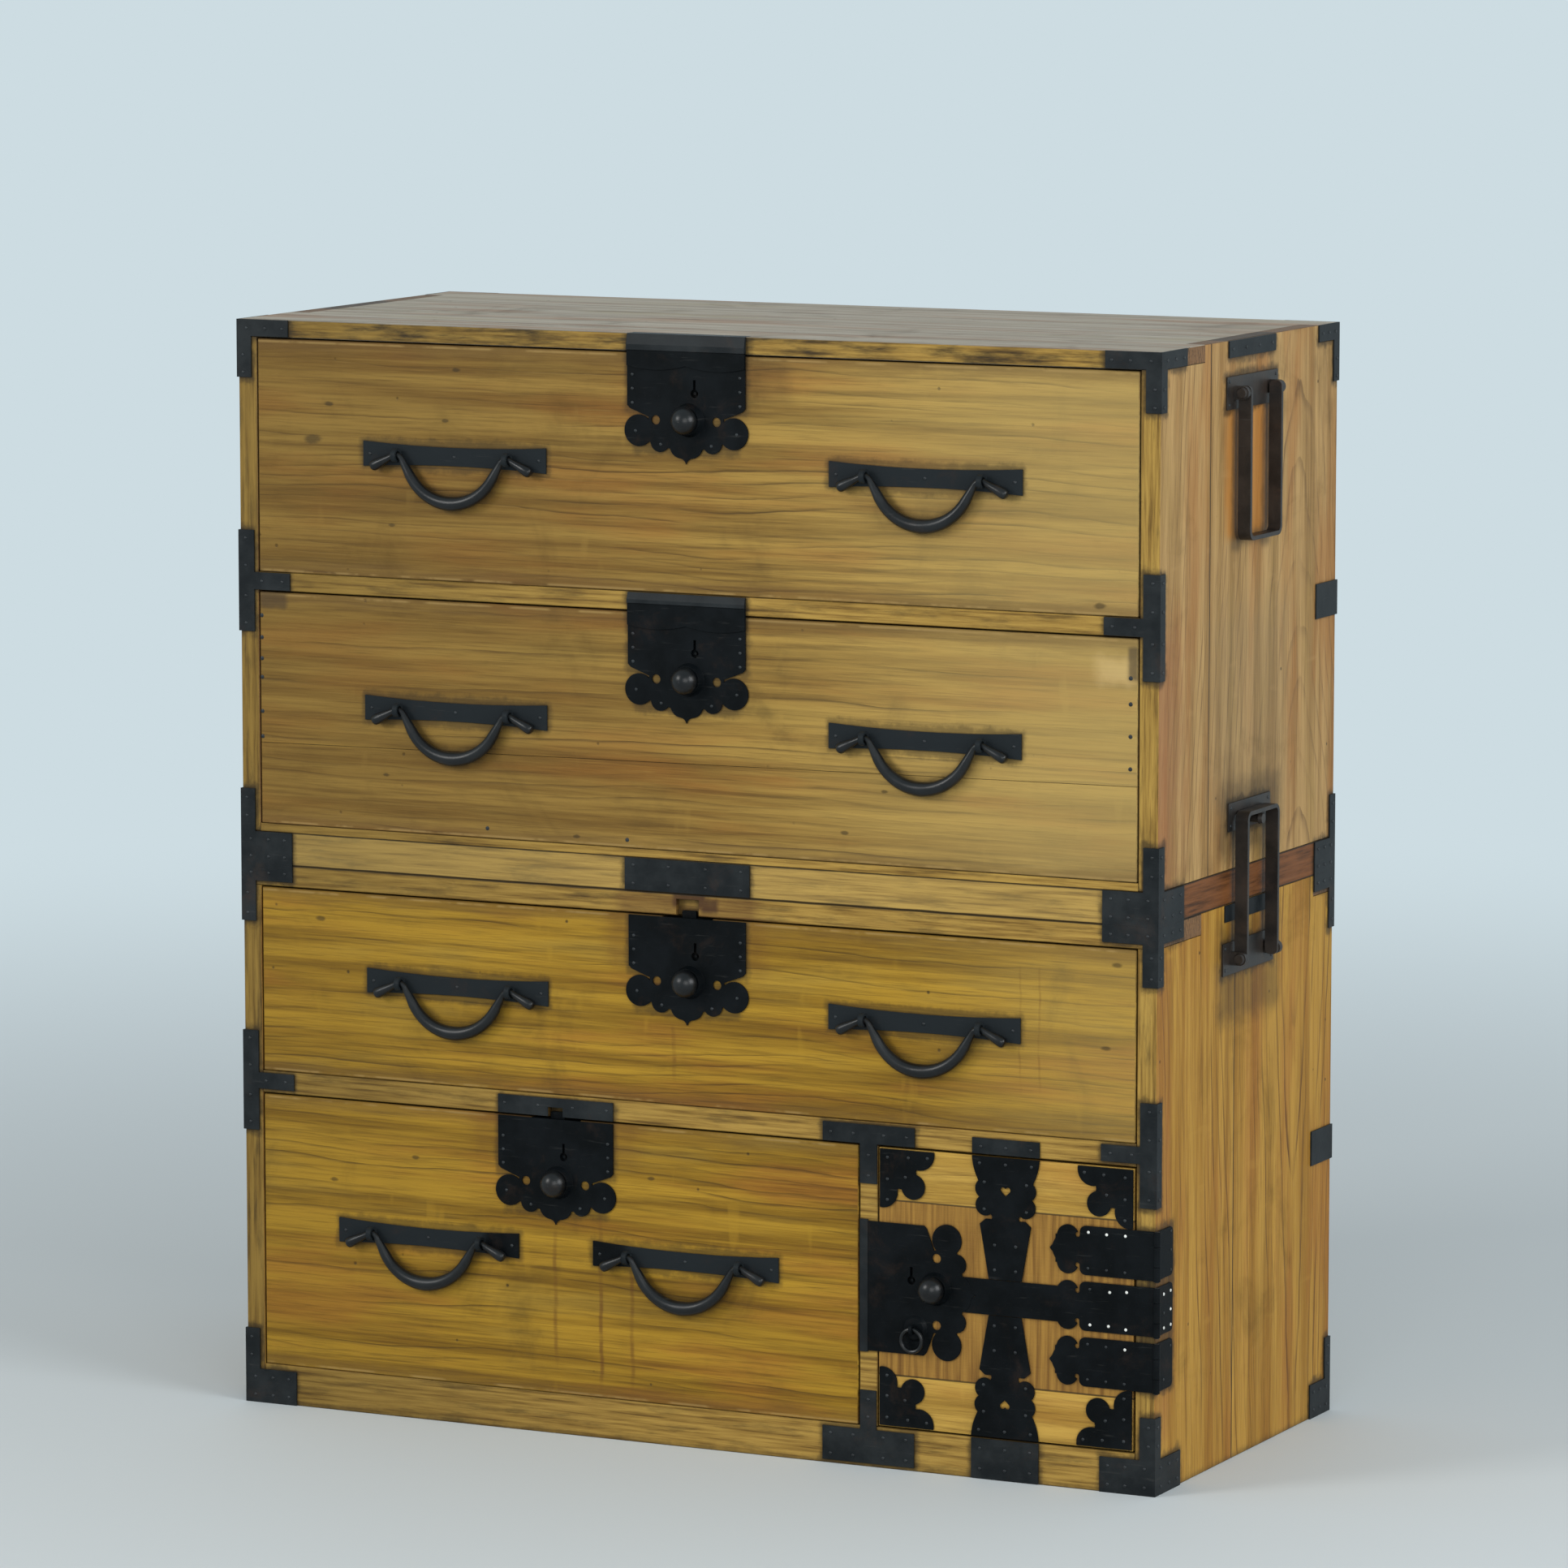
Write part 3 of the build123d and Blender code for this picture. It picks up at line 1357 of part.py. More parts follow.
ring_centre = (ring_x, ring_pivot_y, ring_z - ring_radius)
with BuildPart() as ring:
    with BuildSketch(Plane(origin=ring_centre, x_dir=(1, 0, 0), z_dir=(0, 0, 1))):
        with Locations((ring_radius, 0)):
            RegularPolygon(ring_wire, ring_flats)
    revolve(axis=Axis(ring_centre, (0, 1, 0)))
save(ring.part, "door_ring")
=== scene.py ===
from math import cos, pi, radians, sin, tan

import bmesh
import bpy
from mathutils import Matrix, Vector


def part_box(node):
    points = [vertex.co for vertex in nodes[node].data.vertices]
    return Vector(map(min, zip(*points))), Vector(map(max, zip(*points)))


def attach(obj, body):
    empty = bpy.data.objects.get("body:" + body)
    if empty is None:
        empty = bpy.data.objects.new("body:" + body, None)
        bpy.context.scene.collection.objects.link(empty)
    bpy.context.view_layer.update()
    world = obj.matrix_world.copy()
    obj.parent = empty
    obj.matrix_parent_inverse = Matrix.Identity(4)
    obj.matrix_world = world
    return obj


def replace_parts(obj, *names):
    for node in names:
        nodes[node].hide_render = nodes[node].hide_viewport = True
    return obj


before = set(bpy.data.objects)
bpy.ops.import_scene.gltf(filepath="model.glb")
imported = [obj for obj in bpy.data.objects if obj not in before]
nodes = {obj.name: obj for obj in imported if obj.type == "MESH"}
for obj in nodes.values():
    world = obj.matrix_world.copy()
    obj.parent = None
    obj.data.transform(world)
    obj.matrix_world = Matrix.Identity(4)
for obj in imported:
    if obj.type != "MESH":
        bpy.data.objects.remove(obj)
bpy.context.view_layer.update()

# Places in mm, in the frame of the CAD model: the front looks along -Y
MM = 0.001
FRONT = -217.0
BACK = 217.0
SIDE = 492.5
IRON = 1.5
LOWER_HEIGHT = 543.0
BASE_TOP = 576.0
HEIGHT = 1082.0
# half the width of a full drawer front, and how far a lock's datum is below the drawer's opening
DRAWER_REACH = 471.0
LOCK_DROP = 2.3


def drawer_places(low, high, handle, middle=0.0, handles=(-252.0, 252.0)):
    """Where a drawer is: low and high edges of its opening, height of its handles, and places in x."""
    return {
        "middle": middle,
        "low": low,
        "high": high,
        "datum": high - LOCK_DROP,
        "handle": handle,
        "handles": handles,
    }


DRAWERS = {
    "drawer_1": drawer_places(833.5, 1065.0, 955.25),
    "drawer_2": drawer_places(584.0, 815.5, 705.75),
    "drawer_3": drawer_places(336.5, 522.0, 435.25),
    "drawer_4": drawer_places(40.0, 314.5, 183.25, middle=-144.0, handles=(-285.5, -2.5)),
}
# sizes of the drawers' irons in x and z: handle plate, lock plate and the lobes under it
HANDLE_PLATE = (201.0, 24.5)
LOCK_PLATE = (126.0, 62.0)
LOCK_LOBES = (108.0, 30.0)
# heights of the T irons at the rails' ends, and the middle of the door in x and z
TEE_HEIGHTS = (824.5, 326.0)
DOOR_CENTRE = (338.0, 177.25)


# ---------------------------------------------------------------- shader writer


def linear(red, green, blue):
    """An sRGB colour in steps of 0 to 255 as the linear colour that shaders take."""
    parts = []
    for value in (red, green, blue):
        share = value / 255
        parts.append(share / 12.92 if share <= 0.04045 else ((share + 0.055) / 1.055) ** 2.4)
    return (*parts, 1.0)


class Shader:
    """Writes a node material: each method adds nodes and gives back their output."""

    def __init__(self, name):
        self.material = bpy.data.materials.new(name)
        self.material.use_nodes = True
        self.tree = self.material.node_tree
        self.tree.nodes.clear()
        self.output = self.tree.nodes.new("ShaderNodeOutputMaterial")
        self.surface = self.tree.nodes.new("ShaderNodeBsdfPrincipled")
        self.tree.links.new(self.surface.outputs[0], self.output.inputs[0])
        coordinates = self.tree.nodes.new("ShaderNodeTexCoord").outputs
        self.place = self.vector("MULTIPLY", coordinates["Object"], (1000.0, 1000.0, 1000.0))
        facing = self.tree.nodes.new("ShaderNodeSeparateXYZ")
        self.put(facing.inputs[0], coordinates["Normal"])
        self.sideways = self.sum("GREATER_THAN", self.sum("ABSOLUTE", facing.outputs[0]), 0.7)
        split = self.tree.nodes.new("ShaderNodeSeparateXYZ")
        self.put(split.inputs[0], self.place)
        self.x, self.y, self.z = split.outputs
        self.folded = self.joined(self.sum("ABSOLUTE", self.x), self.y, self.z)

    def put(self, socket, value):
        """Link an output to a socket, or set a plain value on it."""
        if isinstance(value, bpy.types.NodeSocket):
            self.tree.links.new(value, socket)
        else:
            socket.default_value = value

    def sum(self, operation, a, b=0.0, c=0.0):
        node = self.tree.nodes.new("ShaderNodeMath")
        node.operation = operation
        for socket, value in zip(node.inputs, (a, b, c)):
            self.put(socket, value)
        return node.outputs[0]

    def times(self, first, *others):
        for other in others:
            first = self.sum("MULTIPLY", first, other)
        return first

    def vector(self, operation, a, b=(0.0, 0.0, 0.0)):
        node = self.tree.nodes.new("ShaderNodeVectorMath")
        node.operation = operation
        self.put(node.inputs[0], a)
        self.put(node.inputs[1], b)
        return node.outputs["Value" if operation == "LENGTH" else "Vector"]

    def joined(self, x, y, z):
        """Three numbers as one vector."""
        node = self.tree.nodes.new("ShaderNodeCombineXYZ")
        for socket, value in zip(node.inputs, (x, y, z)):
            self.put(socket, value)
        return node.outputs[0]

    def noise(self, place, detail, rough=0.55, twist=0.0):
        node = self.tree.nodes.new("ShaderNodeTexNoise")
        self.put(node.inputs["Vector"], place)
        node.inputs["Scale"].default_value = 1.0
        node.inputs["Detail"].default_value = detail
        node.inputs["Roughness"].default_value = rough
        node.inputs["Distortion"].default_value = twist
        return node.outputs[0]

    def cloud(self, frequency, detail, rough=0.55, twist=0.0):
        """Noise that is the same in every direction: frequency is per mm."""
        return self.noise(self.vector("MULTIPLY", self.place, (frequency,) * 3), detail, rough, twist)

    def speck(self, frequency):
        """Distance from the nearest of scattered points."""
        node = self.tree.nodes.new("ShaderNodeTexVoronoi")
        self.put(node.inputs["Vector"], self.vector("MULTIPLY", self.place, (frequency,) * 3))
        node.inputs["Scale"].default_value = 1.0
        return node.outputs["Distance"]

    def random(self, value):
        node = self.tree.nodes.new("ShaderNodeTexWhiteNoise")
        node.noise_dimensions = "1D"
        self.put(node.inputs["W"], value)
        return node.outputs["Value"]

    def between(self, value, low, high, start=0.0, end=1.0):
        """A smooth step: start up to low, end from high on."""
        node = self.tree.nodes.new("ShaderNodeMapRange")
        node.interpolation_type = "SMOOTHSTEP"
        for socket, number in zip(node.inputs, (value, low, high, start, end)):
            self.put(socket, number)
        return node.outputs[0]

    def blend(self, share, a, b):
        """Colour a where share is 0, colour b where it is 1."""
        node = self.tree.nodes.new("ShaderNodeMix")
        node.data_type = "RGBA"
        self.put(node.inputs["Factor"], share)
        for socket, value in zip([s for s in node.inputs if s.type == "RGBA"], (a, b)):
            self.put(socket, value)
        return [s for s in node.outputs if s.type == "RGBA"][0]

    def nearby(self, distance):
        """How much of the near surroundings is open: 1 on a free surface, 0 in a corner."""
        node = self.tree.nodes.new("ShaderNodeAmbientOcclusion")
        node.samples = 6
        node.inputs["Distance"].default_value = distance * MM
        return node.outputs["AO"]

    def relief(self, height, depth, rounding):
        """Bumps depth mm deep, and edges that look rounded by a radius in mm."""
        node = self.tree.nodes.new("ShaderNodeBump")
        node.inputs["Strength"].default_value = 1.0
        node.inputs["Distance"].default_value = depth * MM
        self.put(node.inputs["Height"], height)
        edge = self.tree.nodes.new("ShaderNodeBevel")
        edge.samples = 4
        edge.inputs["Radius"].default_value = rounding * MM
        self.put(node.inputs["Normal"], edge.outputs[0])
        self.put(self.surface.inputs["Normal"], node.outputs[0])

    def away(self, boxes, folded):
        """Distance in mm from the nearest of some boxes, each (low x, y, z, high x, y, z).

        The boxes are on the half with positive x if folded, and their mirror images count too.
        """
        place = self.folded if folded else self.place
        nearest = None
        for box in boxes:
            low, high = Vector(box[:3]), Vector(box[3:])
            gap = self.vector("SUBTRACT", place, (low + high) / 2)
            gap = self.vector("SUBTRACT", self.vector("ABSOLUTE", gap), (high - low) / 2)
            gap = self.vector("LENGTH", self.vector("MAXIMUM", gap, (0.0, 0.0, 0.0)))
            nearest = gap if nearest is None else self.sum("MINIMUM", nearest, gap)
        return nearest

    def spot(self, centre, radii):
        """Distance from a point in units of the three radii."""
        gap = self.vector("SUBTRACT", self.place, centre)
        return self.vector("LENGTH", self.vector("DIVIDE", gap, radii))


# ---------------------------------------------------------------- wood

HONEY = (linear(168, 135, 64), linear(122, 92, 37), linear(46, 30, 11))
AMBER = (linear(169, 131, 36), linear(124, 91, 16), linear(50, 32, 7))
BATTEN = (linear(194, 156, 72), linear(164, 128, 52), linear(84, 54, 18))
FADED = (linear(176, 142, 90), linear(142, 110, 62), linear(72, 44, 22))
ORANGE = (linear(178, 136, 55), linear(148, 105, 31), linear(70, 35, 9))
RUSSET = (linear(114, 70, 36), linear(86, 50, 20), linear(42, 23, 8))
ASHEN = (linear(184, 174, 156), linear(160, 148, 130), linear(92, 78, 62))
PALE = (linear(192, 166, 112), linear(168, 138, 84), linear(110, 78, 42))
# tones that run through every board, and what age leaves on it; the darkest also paints shade in corners
WARM = linear(150, 92, 34)
GREENISH = linear(150, 130, 64)
DIRT_AND_SHADE = linear(32, 25, 15)
RUST = linear(92, 54, 20)


def wood(
    name, grain, palette, pith, ring=9.0, lines=0.5, streaks=0.5, tilt=0.0, seed=0.0, planks=(), finish=None
):
    """Solid wood cut from a tree: growth rings round an axis along the grain, fibres, wear and painted shade
    in its corners.

    pith is the tree's middle in the two axes across the grain, in mm, and tilt how fast the
    rings narrow along it. ring is the width of a year, and lines and streaks are how strongly
    the rings and the bands of colour show. planks are seams, each an axis and its place; the
    board beyond a seam has its own tone and figure. finish paints what is particular to the part.
    """
    s = Shader(name)
    if grain == "z":
        along, first, second = s.z, s.x, s.y
    else:
        # boards that run in depth show their long sides where a face looks sideways
        turn = s.times(s.sideways, s.sum("SUBTRACT", s.y, s.x))
        along, first, second = s.sum("ADD", s.x, turn), s.sum("SUBTRACT", s.y, turn), s.z
    light, middle, dark = palette
    number = seed
    crack = 0.0
    for axis, seam in planks:
        across = {"y": s.y, "z": s.z}[axis]
        number = s.sum("ADD", number, s.sum("GREATER_THAN", across, seam))
        gap = s.sum("ABSOLUTE", s.sum("SUBTRACT", across, seam))
        crack = s.sum("MAXIMUM", crack, s.between(gap, 0.5, 1.5, 1.0, 0.0))
    chance = s.random(number)
    shift = s.sum("MULTIPLY_ADD", chance, 70.0, -35.0) if planks else 0.0
    run = s.sum("MULTIPLY_ADD", chance, 900.0, along)
    a = s.sum("SUBTRACT", s.sum("SUBTRACT", first, pith[0]), shift)
    b = s.sum("SUBTRACT", s.sum("SUBTRACT", second, pith[1]), shift)

    def grained(pace, across, detail, rough=0.55):
        """Noise drawn out along the grain: its frequency along it and across it, per mm."""
        place = s.joined(s.times(run, pace), s.times(first, across), s.times(second, across))
        return s.noise(place, detail, rough)

    # growth rings: distance from the pith, bent slowly and finely, with late wood as thin lines
    slow = grained(0.0022, 0.0045, 2.0)
    wander = grained(0.01, 0.035, 3.0)
    radius = s.sum("SQRT", s.sum("ADD", s.times(a, a), s.times(b, b)))
    radius = s.sum("MULTIPLY_ADD", slow, 46.0, radius)
    radius = s.sum("MULTIPLY_ADD", wander, 7.0, radius)
    if tilt:
        radius = s.sum("MULTIPLY_ADD", along, tilt, radius)
    turns = s.sum("DIVIDE", radius, ring)
    share = s.sum("FRACT", turns)
    line = s.times(s.between(share, 0.6, 0.95), s.between(share, 0.955, 1.0, 1.0, 0.0))
    line = s.times(line, line)
    broken = s.between(grained(0.006, 0.05, 2.0), 0.36, 0.62, 0.15, 1.0)
    line = s.times(line, s.sum("MULTIPLY_ADD", s.random(s.sum("FLOOR", turns)), 0.85, 0.15), broken)
    # bands, streaks and fibres along the grain, from broad to fine
    band = s.between(grained(0.0016, 0.05, 3.0, 0.6), 0.34, 0.66)
    streak = grained(0.006, 0.2, 4.0, 0.62)
    fibre = grained(0.016, 0.55, 4.0, 0.66)
    hair = grained(0.007, 1.5, 2.0, 0.7)
    colour = s.blend(band, light, middle)
    hue = grained(0.0035, 0.022, 3.0)
    colour = s.blend(s.between(hue, 0.48, 0.68, 0.0, 0.45), colour, WARM)
    colour = s.blend(s.between(hue, 0.3, 0.46, 0.4 * streaks, 0.0), colour, GREENISH)
    colour = s.blend(s.between(streak, 0.52, 0.74, 0.0, 0.62 * streaks), colour, dark)
    colour = s.blend(s.between(streak, 0.3, 0.46, 0.5 * streaks, 0.0), colour, light)
    colour = s.blend(s.times(line, lines), colour, dark)
    colour = s.blend(s.between(fibre, 0.44, 0.74, 0.0, 0.4), colour, dark)
    colour = s.blend(s.between(fibre, 0.28, 0.45, 0.3, 0.0), colour, light)
    hairs = s.times(s.between(hair, 0.6, 0.7), s.between(slow, 0.4, 0.6), 0.5 * streaks)
    colour = s.blend(hairs, colour, dark)
    # short glints that cross the grain, where rays of the wood reach the face
    rays = s.between(grained(0.05, 0.012, 2.0), 0.6, 0.72)
    rays = s.times(rays, s.between(grained(0.008, 0.02, 2.0), 0.5, 0.62))
    colour = s.blend(s.times(rays, 0.3), colour, light)
    # old dirt in clouds, and small dark dents
    murk = s.between(s.cloud(0.009, 5.0, 0.62, 0.6), 0.52, 0.78)
    colour = s.blend(s.times(murk, 0.38), colour, DIRT_AND_SHADE)
    few = s.between(s.cloud(0.02, 1.0), 0.52, 0.6)
    dents = s.times(s.between(s.speck(0.035), 0.03, 0.08, 1.0, 0.0), few)
    colour = s.blend(s.times(dents, 0.75), colour, DIRT_AND_SHADE)
    colour = s.blend(s.sum("MULTIPLY", crack, 0.85), colour, DIRT_AND_SHADE)
    if finish:
        colour = finish(s, colour)
    # painted shade: darker in corners and seams where ambient occlusion finds nearby surfaces, standing also
    # for dirt gathered there
    ragged = s.sum("MULTIPLY_ADD", s.cloud(0.09, 3.0), 0.5, -0.25)
    corner_shade_and_dirt = s.between(s.sum("ADD", s.nearby(9.0), ragged), 0.45, 0.95, 1.0, 0.0)
    colour = s.blend(s.times(corner_shade_and_dirt, 0.62), colour, DIRT_AND_SHADE)
    s.put(s.surface.inputs["Base Color"], colour)
    rough = s.sum("MULTIPLY_ADD", murk, 0.12, s.sum("MULTIPLY_ADD", fibre, 0.22, 0.44))
    s.put(s.surface.inputs["Roughness"], rough)
    s.surface.inputs["Specular IOR Level"].default_value = 0.2
    height = s.sum("MULTIPLY_ADD", line, -0.5, s.times(fibre, 0.5))
    height = s.sum("MULTIPLY_ADD", dents, -1.6, height)
    height = s.sum("MULTIPLY_ADD", hair, 0.35, height)
    height = s.sum("MULTIPLY_ADD", crack, -1.2, height)
    s.relief(height, 0.32, 1.0)
    return s.material


def halo(s, colour, boxes, reach, strength, folded=True):
    """The dark border that iron leaves on the wood round it; folded boxes count on both sides."""
    ragged = s.sum("MULTIPLY_ADD", s.cloud(0.06, 4.0, 0.65), -2.2 * reach, 1.1 * reach)
    gap = s.sum("ADD", s.away(boxes, folded), ragged)
    return s.blend(s.between(gap, 0.0, reach, strength, 0.0), colour, DIRT_AND_SHADE)


def stain(s, colour, boxes, soft, strength, paint, folded=False):
    """A soft-edged patch of another colour over some boxes."""
    gap = s.sum("MULTIPLY_ADD", s.cloud(0.05, 4.0, 0.6), -soft, s.away(boxes, folded))
    return s.blend(s.between(gap, -0.6 * soft, 0.5 * soft, strength, 0.0), colour, paint)


def drip(s, colour, x, top, foot, strength=0.6, width=1.5):
    """A vertical run of rust down a front."""
    swing = s.noise(s.joined(0.0, 0.0, s.times(s.z, 0.02)), 3.0)
    off = s.sum("ABSOLUTE", s.sum("SUBTRACT", s.sum("MULTIPLY_ADD", swing, 9.0, s.x), x + 4.5))
    mark = s.times(s.between(off, width * 0.4, width * 2.2, 1.0, 0.0), s.between(s.z, foot, foot + 30.0))
    mark = s.times(mark, s.between(s.z, top - 8.0, top, 1.0, 0.0))
    mark = s.times(mark, s.between(s.cloud(0.05, 3.0), 0.35, 0.6, 0.35, 1.0))
    return s.blend(s.times(mark, strength), colour, RUST)


def knot(s, colour, x, z, radius):
    """A small dark knot on a front, drawn out along the grain."""
    ragged = s.sum("MULTIPLY_ADD", s.cloud(0.12, 3.0), 0.8, -0.4)
    gap = s.sum("ADD", s.spot((x, FRONT, z), (radius * 2.1, 50.0, radius)), ragged)
    return s.blend(s.between(gap, 0.4, 1.0, 0.6, 0.0), colour, DIRT_AND_SHADE)


def front_box(x, z, width, height):
    """A box round a rectangle of the front, given by its middle and size."""
    return (x - width / 2, FRONT - 20.0, z - height / 2, x + width / 2, FRONT + 2.0, z + height / 2)


# old marks on the drawer fronts, in the order in which they are painted
MARKS = {
    "drawer_1": (
        (knot, -410.0, 967.0, 6.0),
        (knot, -392.0, 1002.0, 3.0),
        (knot, -250.0, 1040.0, 2.6),
        (knot, -262.0, 990.0, 2.4),
        (knot, 432.0, 843.0, 4.0),
        (knot, -322.0, 886.0, 2.4),
        (stain, [front_box(70.0, 1040.0, 60.0, 20.0)], 20.0, 0.3, DIRT_AND_SHADE),
    ),
    "drawer_2": (
        (stain, [front_box(448.0, 783.0, 26.0, 9.0)], 16.0, 0.6, linear(196, 168, 112)),
        (stain, [front_box(466.0, 790.0, 5.0, 26.0)], 5.0, 0.8, linear(78, 64, 44)),
        (stain, [front_box(-456.0, 806.0, 24.0, 10.0)], 7.0, 0.75, linear(70, 54, 34)),
        (knot, 168.0, 613.0, 2.6),
        (knot, -120.0, 592.0, 2.4),
        (knot, 210.0, 655.0, 2.2),
        (knot, -330.0, 640.0, 2.4),
    ),
    "drawer_3": (
        (drip, -15.0, 417.0, 355.0),
        (stain, [front_box(0.0, 500.0, 150.0, 40.0)], 26.0, 0.34, RUST),
        (knot, -405.0, 493.0, 3.4),
        (knot, 440.0, 425.0, 3.0),
        (knot, 452.0, 505.0, 3.2),
        (drip, 352.0, 500.0, 370.0, 0.3, 0.8),
        (drip, 372.0, 500.0, 370.0, 0.3, 0.8),
    ),
    "drawer_4": (
        (drip, -145.0, 205.0, 60.0, 0.5),
        (drip, -95.0, 226.0, 42.0, 0.62),
        (drip, -61.0, 172.0, 42.0, 0.5),
        (stain, [front_box(-144.0, 300.0, 160.0, 26.0)], 26.0, 0.3, RUST),
        (knot, -300.0, 262.0, 2.6),
        (knot, -40.0, 262.0, 2.6),
        (knot, -392.0, 233.0, 2.8),
    ),
}


def drawer_finish(name):
    """What is particular to a drawer front: borders round its irons, fading with painted light across it, and
    old marks.
    """
    drawer = DRAWERS[name]
    middle, datum, handle = drawer["middle"], drawer["datum"], drawer["handle"]
    irons = [front_box(x, handle, *HANDLE_PLATE) for x in drawer["handles"]]
    irons += [front_box(middle, datum - 24.0, *LOCK_PLATE), front_box(middle, datum - 78.0, *LOCK_LOBES)]

    def finish(s, colour):
        # paler towards the right, darker towards the left: partly sun-bleaching, partly painted light that
        # falls off towards the left
        if name in ("drawer_1", "drawer_2"):
            colour = s.blend(s.between(s.x, 20.0, DRAWER_REACH, 0.0, 0.5), colour, linear(174, 150, 92))
            colour = s.blend(s.between(s.x, -200.0, 260.0, 0.42, 0.0), colour, linear(98, 70, 24))
        if name == "drawer_3":
            colour = s.blend(s.between(s.x, 200.0, DRAWER_REACH, 0.0, 0.26), colour, linear(172, 150, 94))
        colour = s.blend(s.between(s.x, -DRAWER_REACH, -60.0, 0.22, 0.0), colour, linear(84, 62, 16))
        # the upper and lower edges are rubbed bright, with a band of dirt inside them
        edge = s.sum("SUBTRACT", drawer["high"] - 1.5, s.z)
        edge = s.sum("MINIMUM", s.sum("SUBTRACT", s.z, drawer["low"]), edge)
        rubbed = s.times(s.between(edge, 1.0, 2.0), s.between(edge, 2.4, 4.4, 1.0, 0.0))
        rubbed = s.times(rubbed, s.between(s.cloud(0.03, 3.0), 0.4, 0.55))
        colour = s.blend(s.times(rubbed, 0.5), colour, linear(196, 164, 100))
        ragged = s.noise(s.joined(s.times(s.x, 0.012), 0.0, s.times(s.z, 0.1)), 4.0, 0.65)
        edge = s.sum("MULTIPLY_ADD", ragged, -26.0, edge)
        colour = s.blend(s.between(edge, -10.0, 6.0, 0.42, 0.0), colour, linear(84, 60, 32))
        for mark, *values in MARKS[name]:
            colour = mark(s, colour, *values)
        return halo(s, colour, irons, 7.0, 0.5, folded=False)

    return finish


# irons of the case, on the half with positive x: (low x, y, z, high x, y, z)
OUT, IN = SIDE + IRON, SIDE - 20.0
FORE, AFT = -219.0, 219.0


def corner_boxes(plate_low, plate_high, leg_low, leg_high):
    """The flange and leg of a front corner, then those of the back corner at its height."""
    return [
        (438.0, FORE, plate_low, OUT, -158.0, plate_high),
        (480.0, FORE, leg_low, OUT, -205.0, leg_high),
        (IN, 168.0, plate_low, OUT, AFT, plate_high),
        (IN, 206.0, leg_low, OUT, AFT, leg_high),
    ]


def tee_boxes(middle, half_arm):
    """The arm and stem of the T iron at a rail's end."""
    return [
        (438.0, FORE, middle - half_arm, OUT, -206.5, middle + half_arm),
        (478.0, FORE, middle - 50.0, OUT, -206.5, middle + 50.0),
    ]


TOP_CORNERS = corner_boxes(1065.5, HEIGHT, 1025.0, HEIGHT)
UPPER_TEE = tee_boxes(TEE_HEIGHTS[0], 8.5)
BASE_CORNERS = corner_boxes(LOWER_HEIGHT, 575.5, LOWER_HEIGHT, 618.0)
TOP_EDGE_PLATE = (IN, -57.0, 1066.0, OUT, 57.0, HEIGHT)
UPPER_PLATES = [(IN, -62.0, 1016.5, OUT, 62.0, 1047.5), TOP_EDGE_PLATE, (IN, -51.0, 613.0, OUT, 51.0, 640.0)]
UPPER_IRONS = TOP_CORNERS + UPPER_TEE + BASE_CORNERS + UPPER_PLATES
LOWER_TOP_CORNERS = corner_boxes(526.5, LOWER_HEIGHT, 486.0, LOWER_HEIGHT)
LOWER_TEE = tee_boxes(TEE_HEIGHTS[1], 8.0)
FOOT_CORNERS = corner_boxes(0.0, 34.0, 0.0, 75.0)
LOWER_IRONS = LOWER_TOP_CORNERS + LOWER_TEE + FOOT_CORNERS + [(IN, -62.0, 475.0, OUT, 62.0, 506.0)]
HINGE_SIDE = [(IN, FORE, 100.0, OUT, -178.0, 255.0)]
# keepers and plates in the middle of the front, and the irons of the rails round the door
TOP_KEEPER = (0.0, FORE, 1066.0, 63.0, -203.0, HEIGHT)
RAIL_KEEPER = (0.0, FORE, 822.0, 63.0, -190.0, 834.0)
BASE_PLATE = (0.0, FORE, 545.0, 67.0, -190.0, 574.0)
RAIL_IRONS = [
    (145.0, FORE, 315.0, 243.0, -190.0, 334.0),
    (145.0, FORE, 3.0, 243.0, -190.0, 37.0),
    (303.0, FORE, 0.0, 373.0, -190.0, 40.0),
    (-207.0, FORE, 315.0, -81.0, -190.0, 330.0),
]


def on_front(s):
    """1 on the front faces of the case, else 0."""
    return s.sum("LESS_THAN", s.y, FRONT + 0.4)


def parting(s, colour, *levels):
    """Dark lines where boards of the case meet at some heights."""
    swing = s.sum("MULTIPLY_ADD", s.cloud(0.02, 3.0), 1.6, -0.8)
    for level in levels:
        gap = s.sum("ABSOLUTE", s.sum("ADD", s.sum("SUBTRACT", s.z, level), swing))
        colour = s.blend(s.between(gap, 0.7, 1.8, 0.85, 0.0), colour, DIRT_AND_SHADE)
    return colour


def on_side(s):
    """1 on the side faces of the case, else 0."""
    return s.sum("GREATER_THAN", s.sum("ABSOLUTE", s.x), SIDE - 0.4)


def golden_front(s, colour, grain, grime=0.6):
    """The front edge of a board: oiled like the drawers, with old dirt."""
    along, across = (s.z, s.x) if grain == "z" else (s.x, s.z)
    streak = s.noise(s.joined(s.times(along, 0.01), s.times(across, 0.25), 0.0), 4.0, 0.6)
    gold = s.blend(s.between(streak, 0.34, 0.68), HONEY[0], HONEY[1])
    # darker towards the left, as on the drawer fronts: partly fading, partly painted light that falls off
    # towards the left
    gold = s.blend(s.between(s.x, -492.0, 100.0, 0.5, 0.0), gold, linear(88, 68, 24))
    gold = s.blend(s.between(streak, 0.55, 0.75, 0.0, 0.6), gold, HONEY[2])
    murk = s.noise(s.joined(s.times(along, 0.014), s.times(across, 0.09), 3.0), 5.0, 0.65)
    murk = s.between(murk, 0.62 - 0.26 * grime, 0.72, 0.0, grime)
    return s.blend(on_front(s), colour, s.blend(murk, gold, DIRT_AND_SHADE))


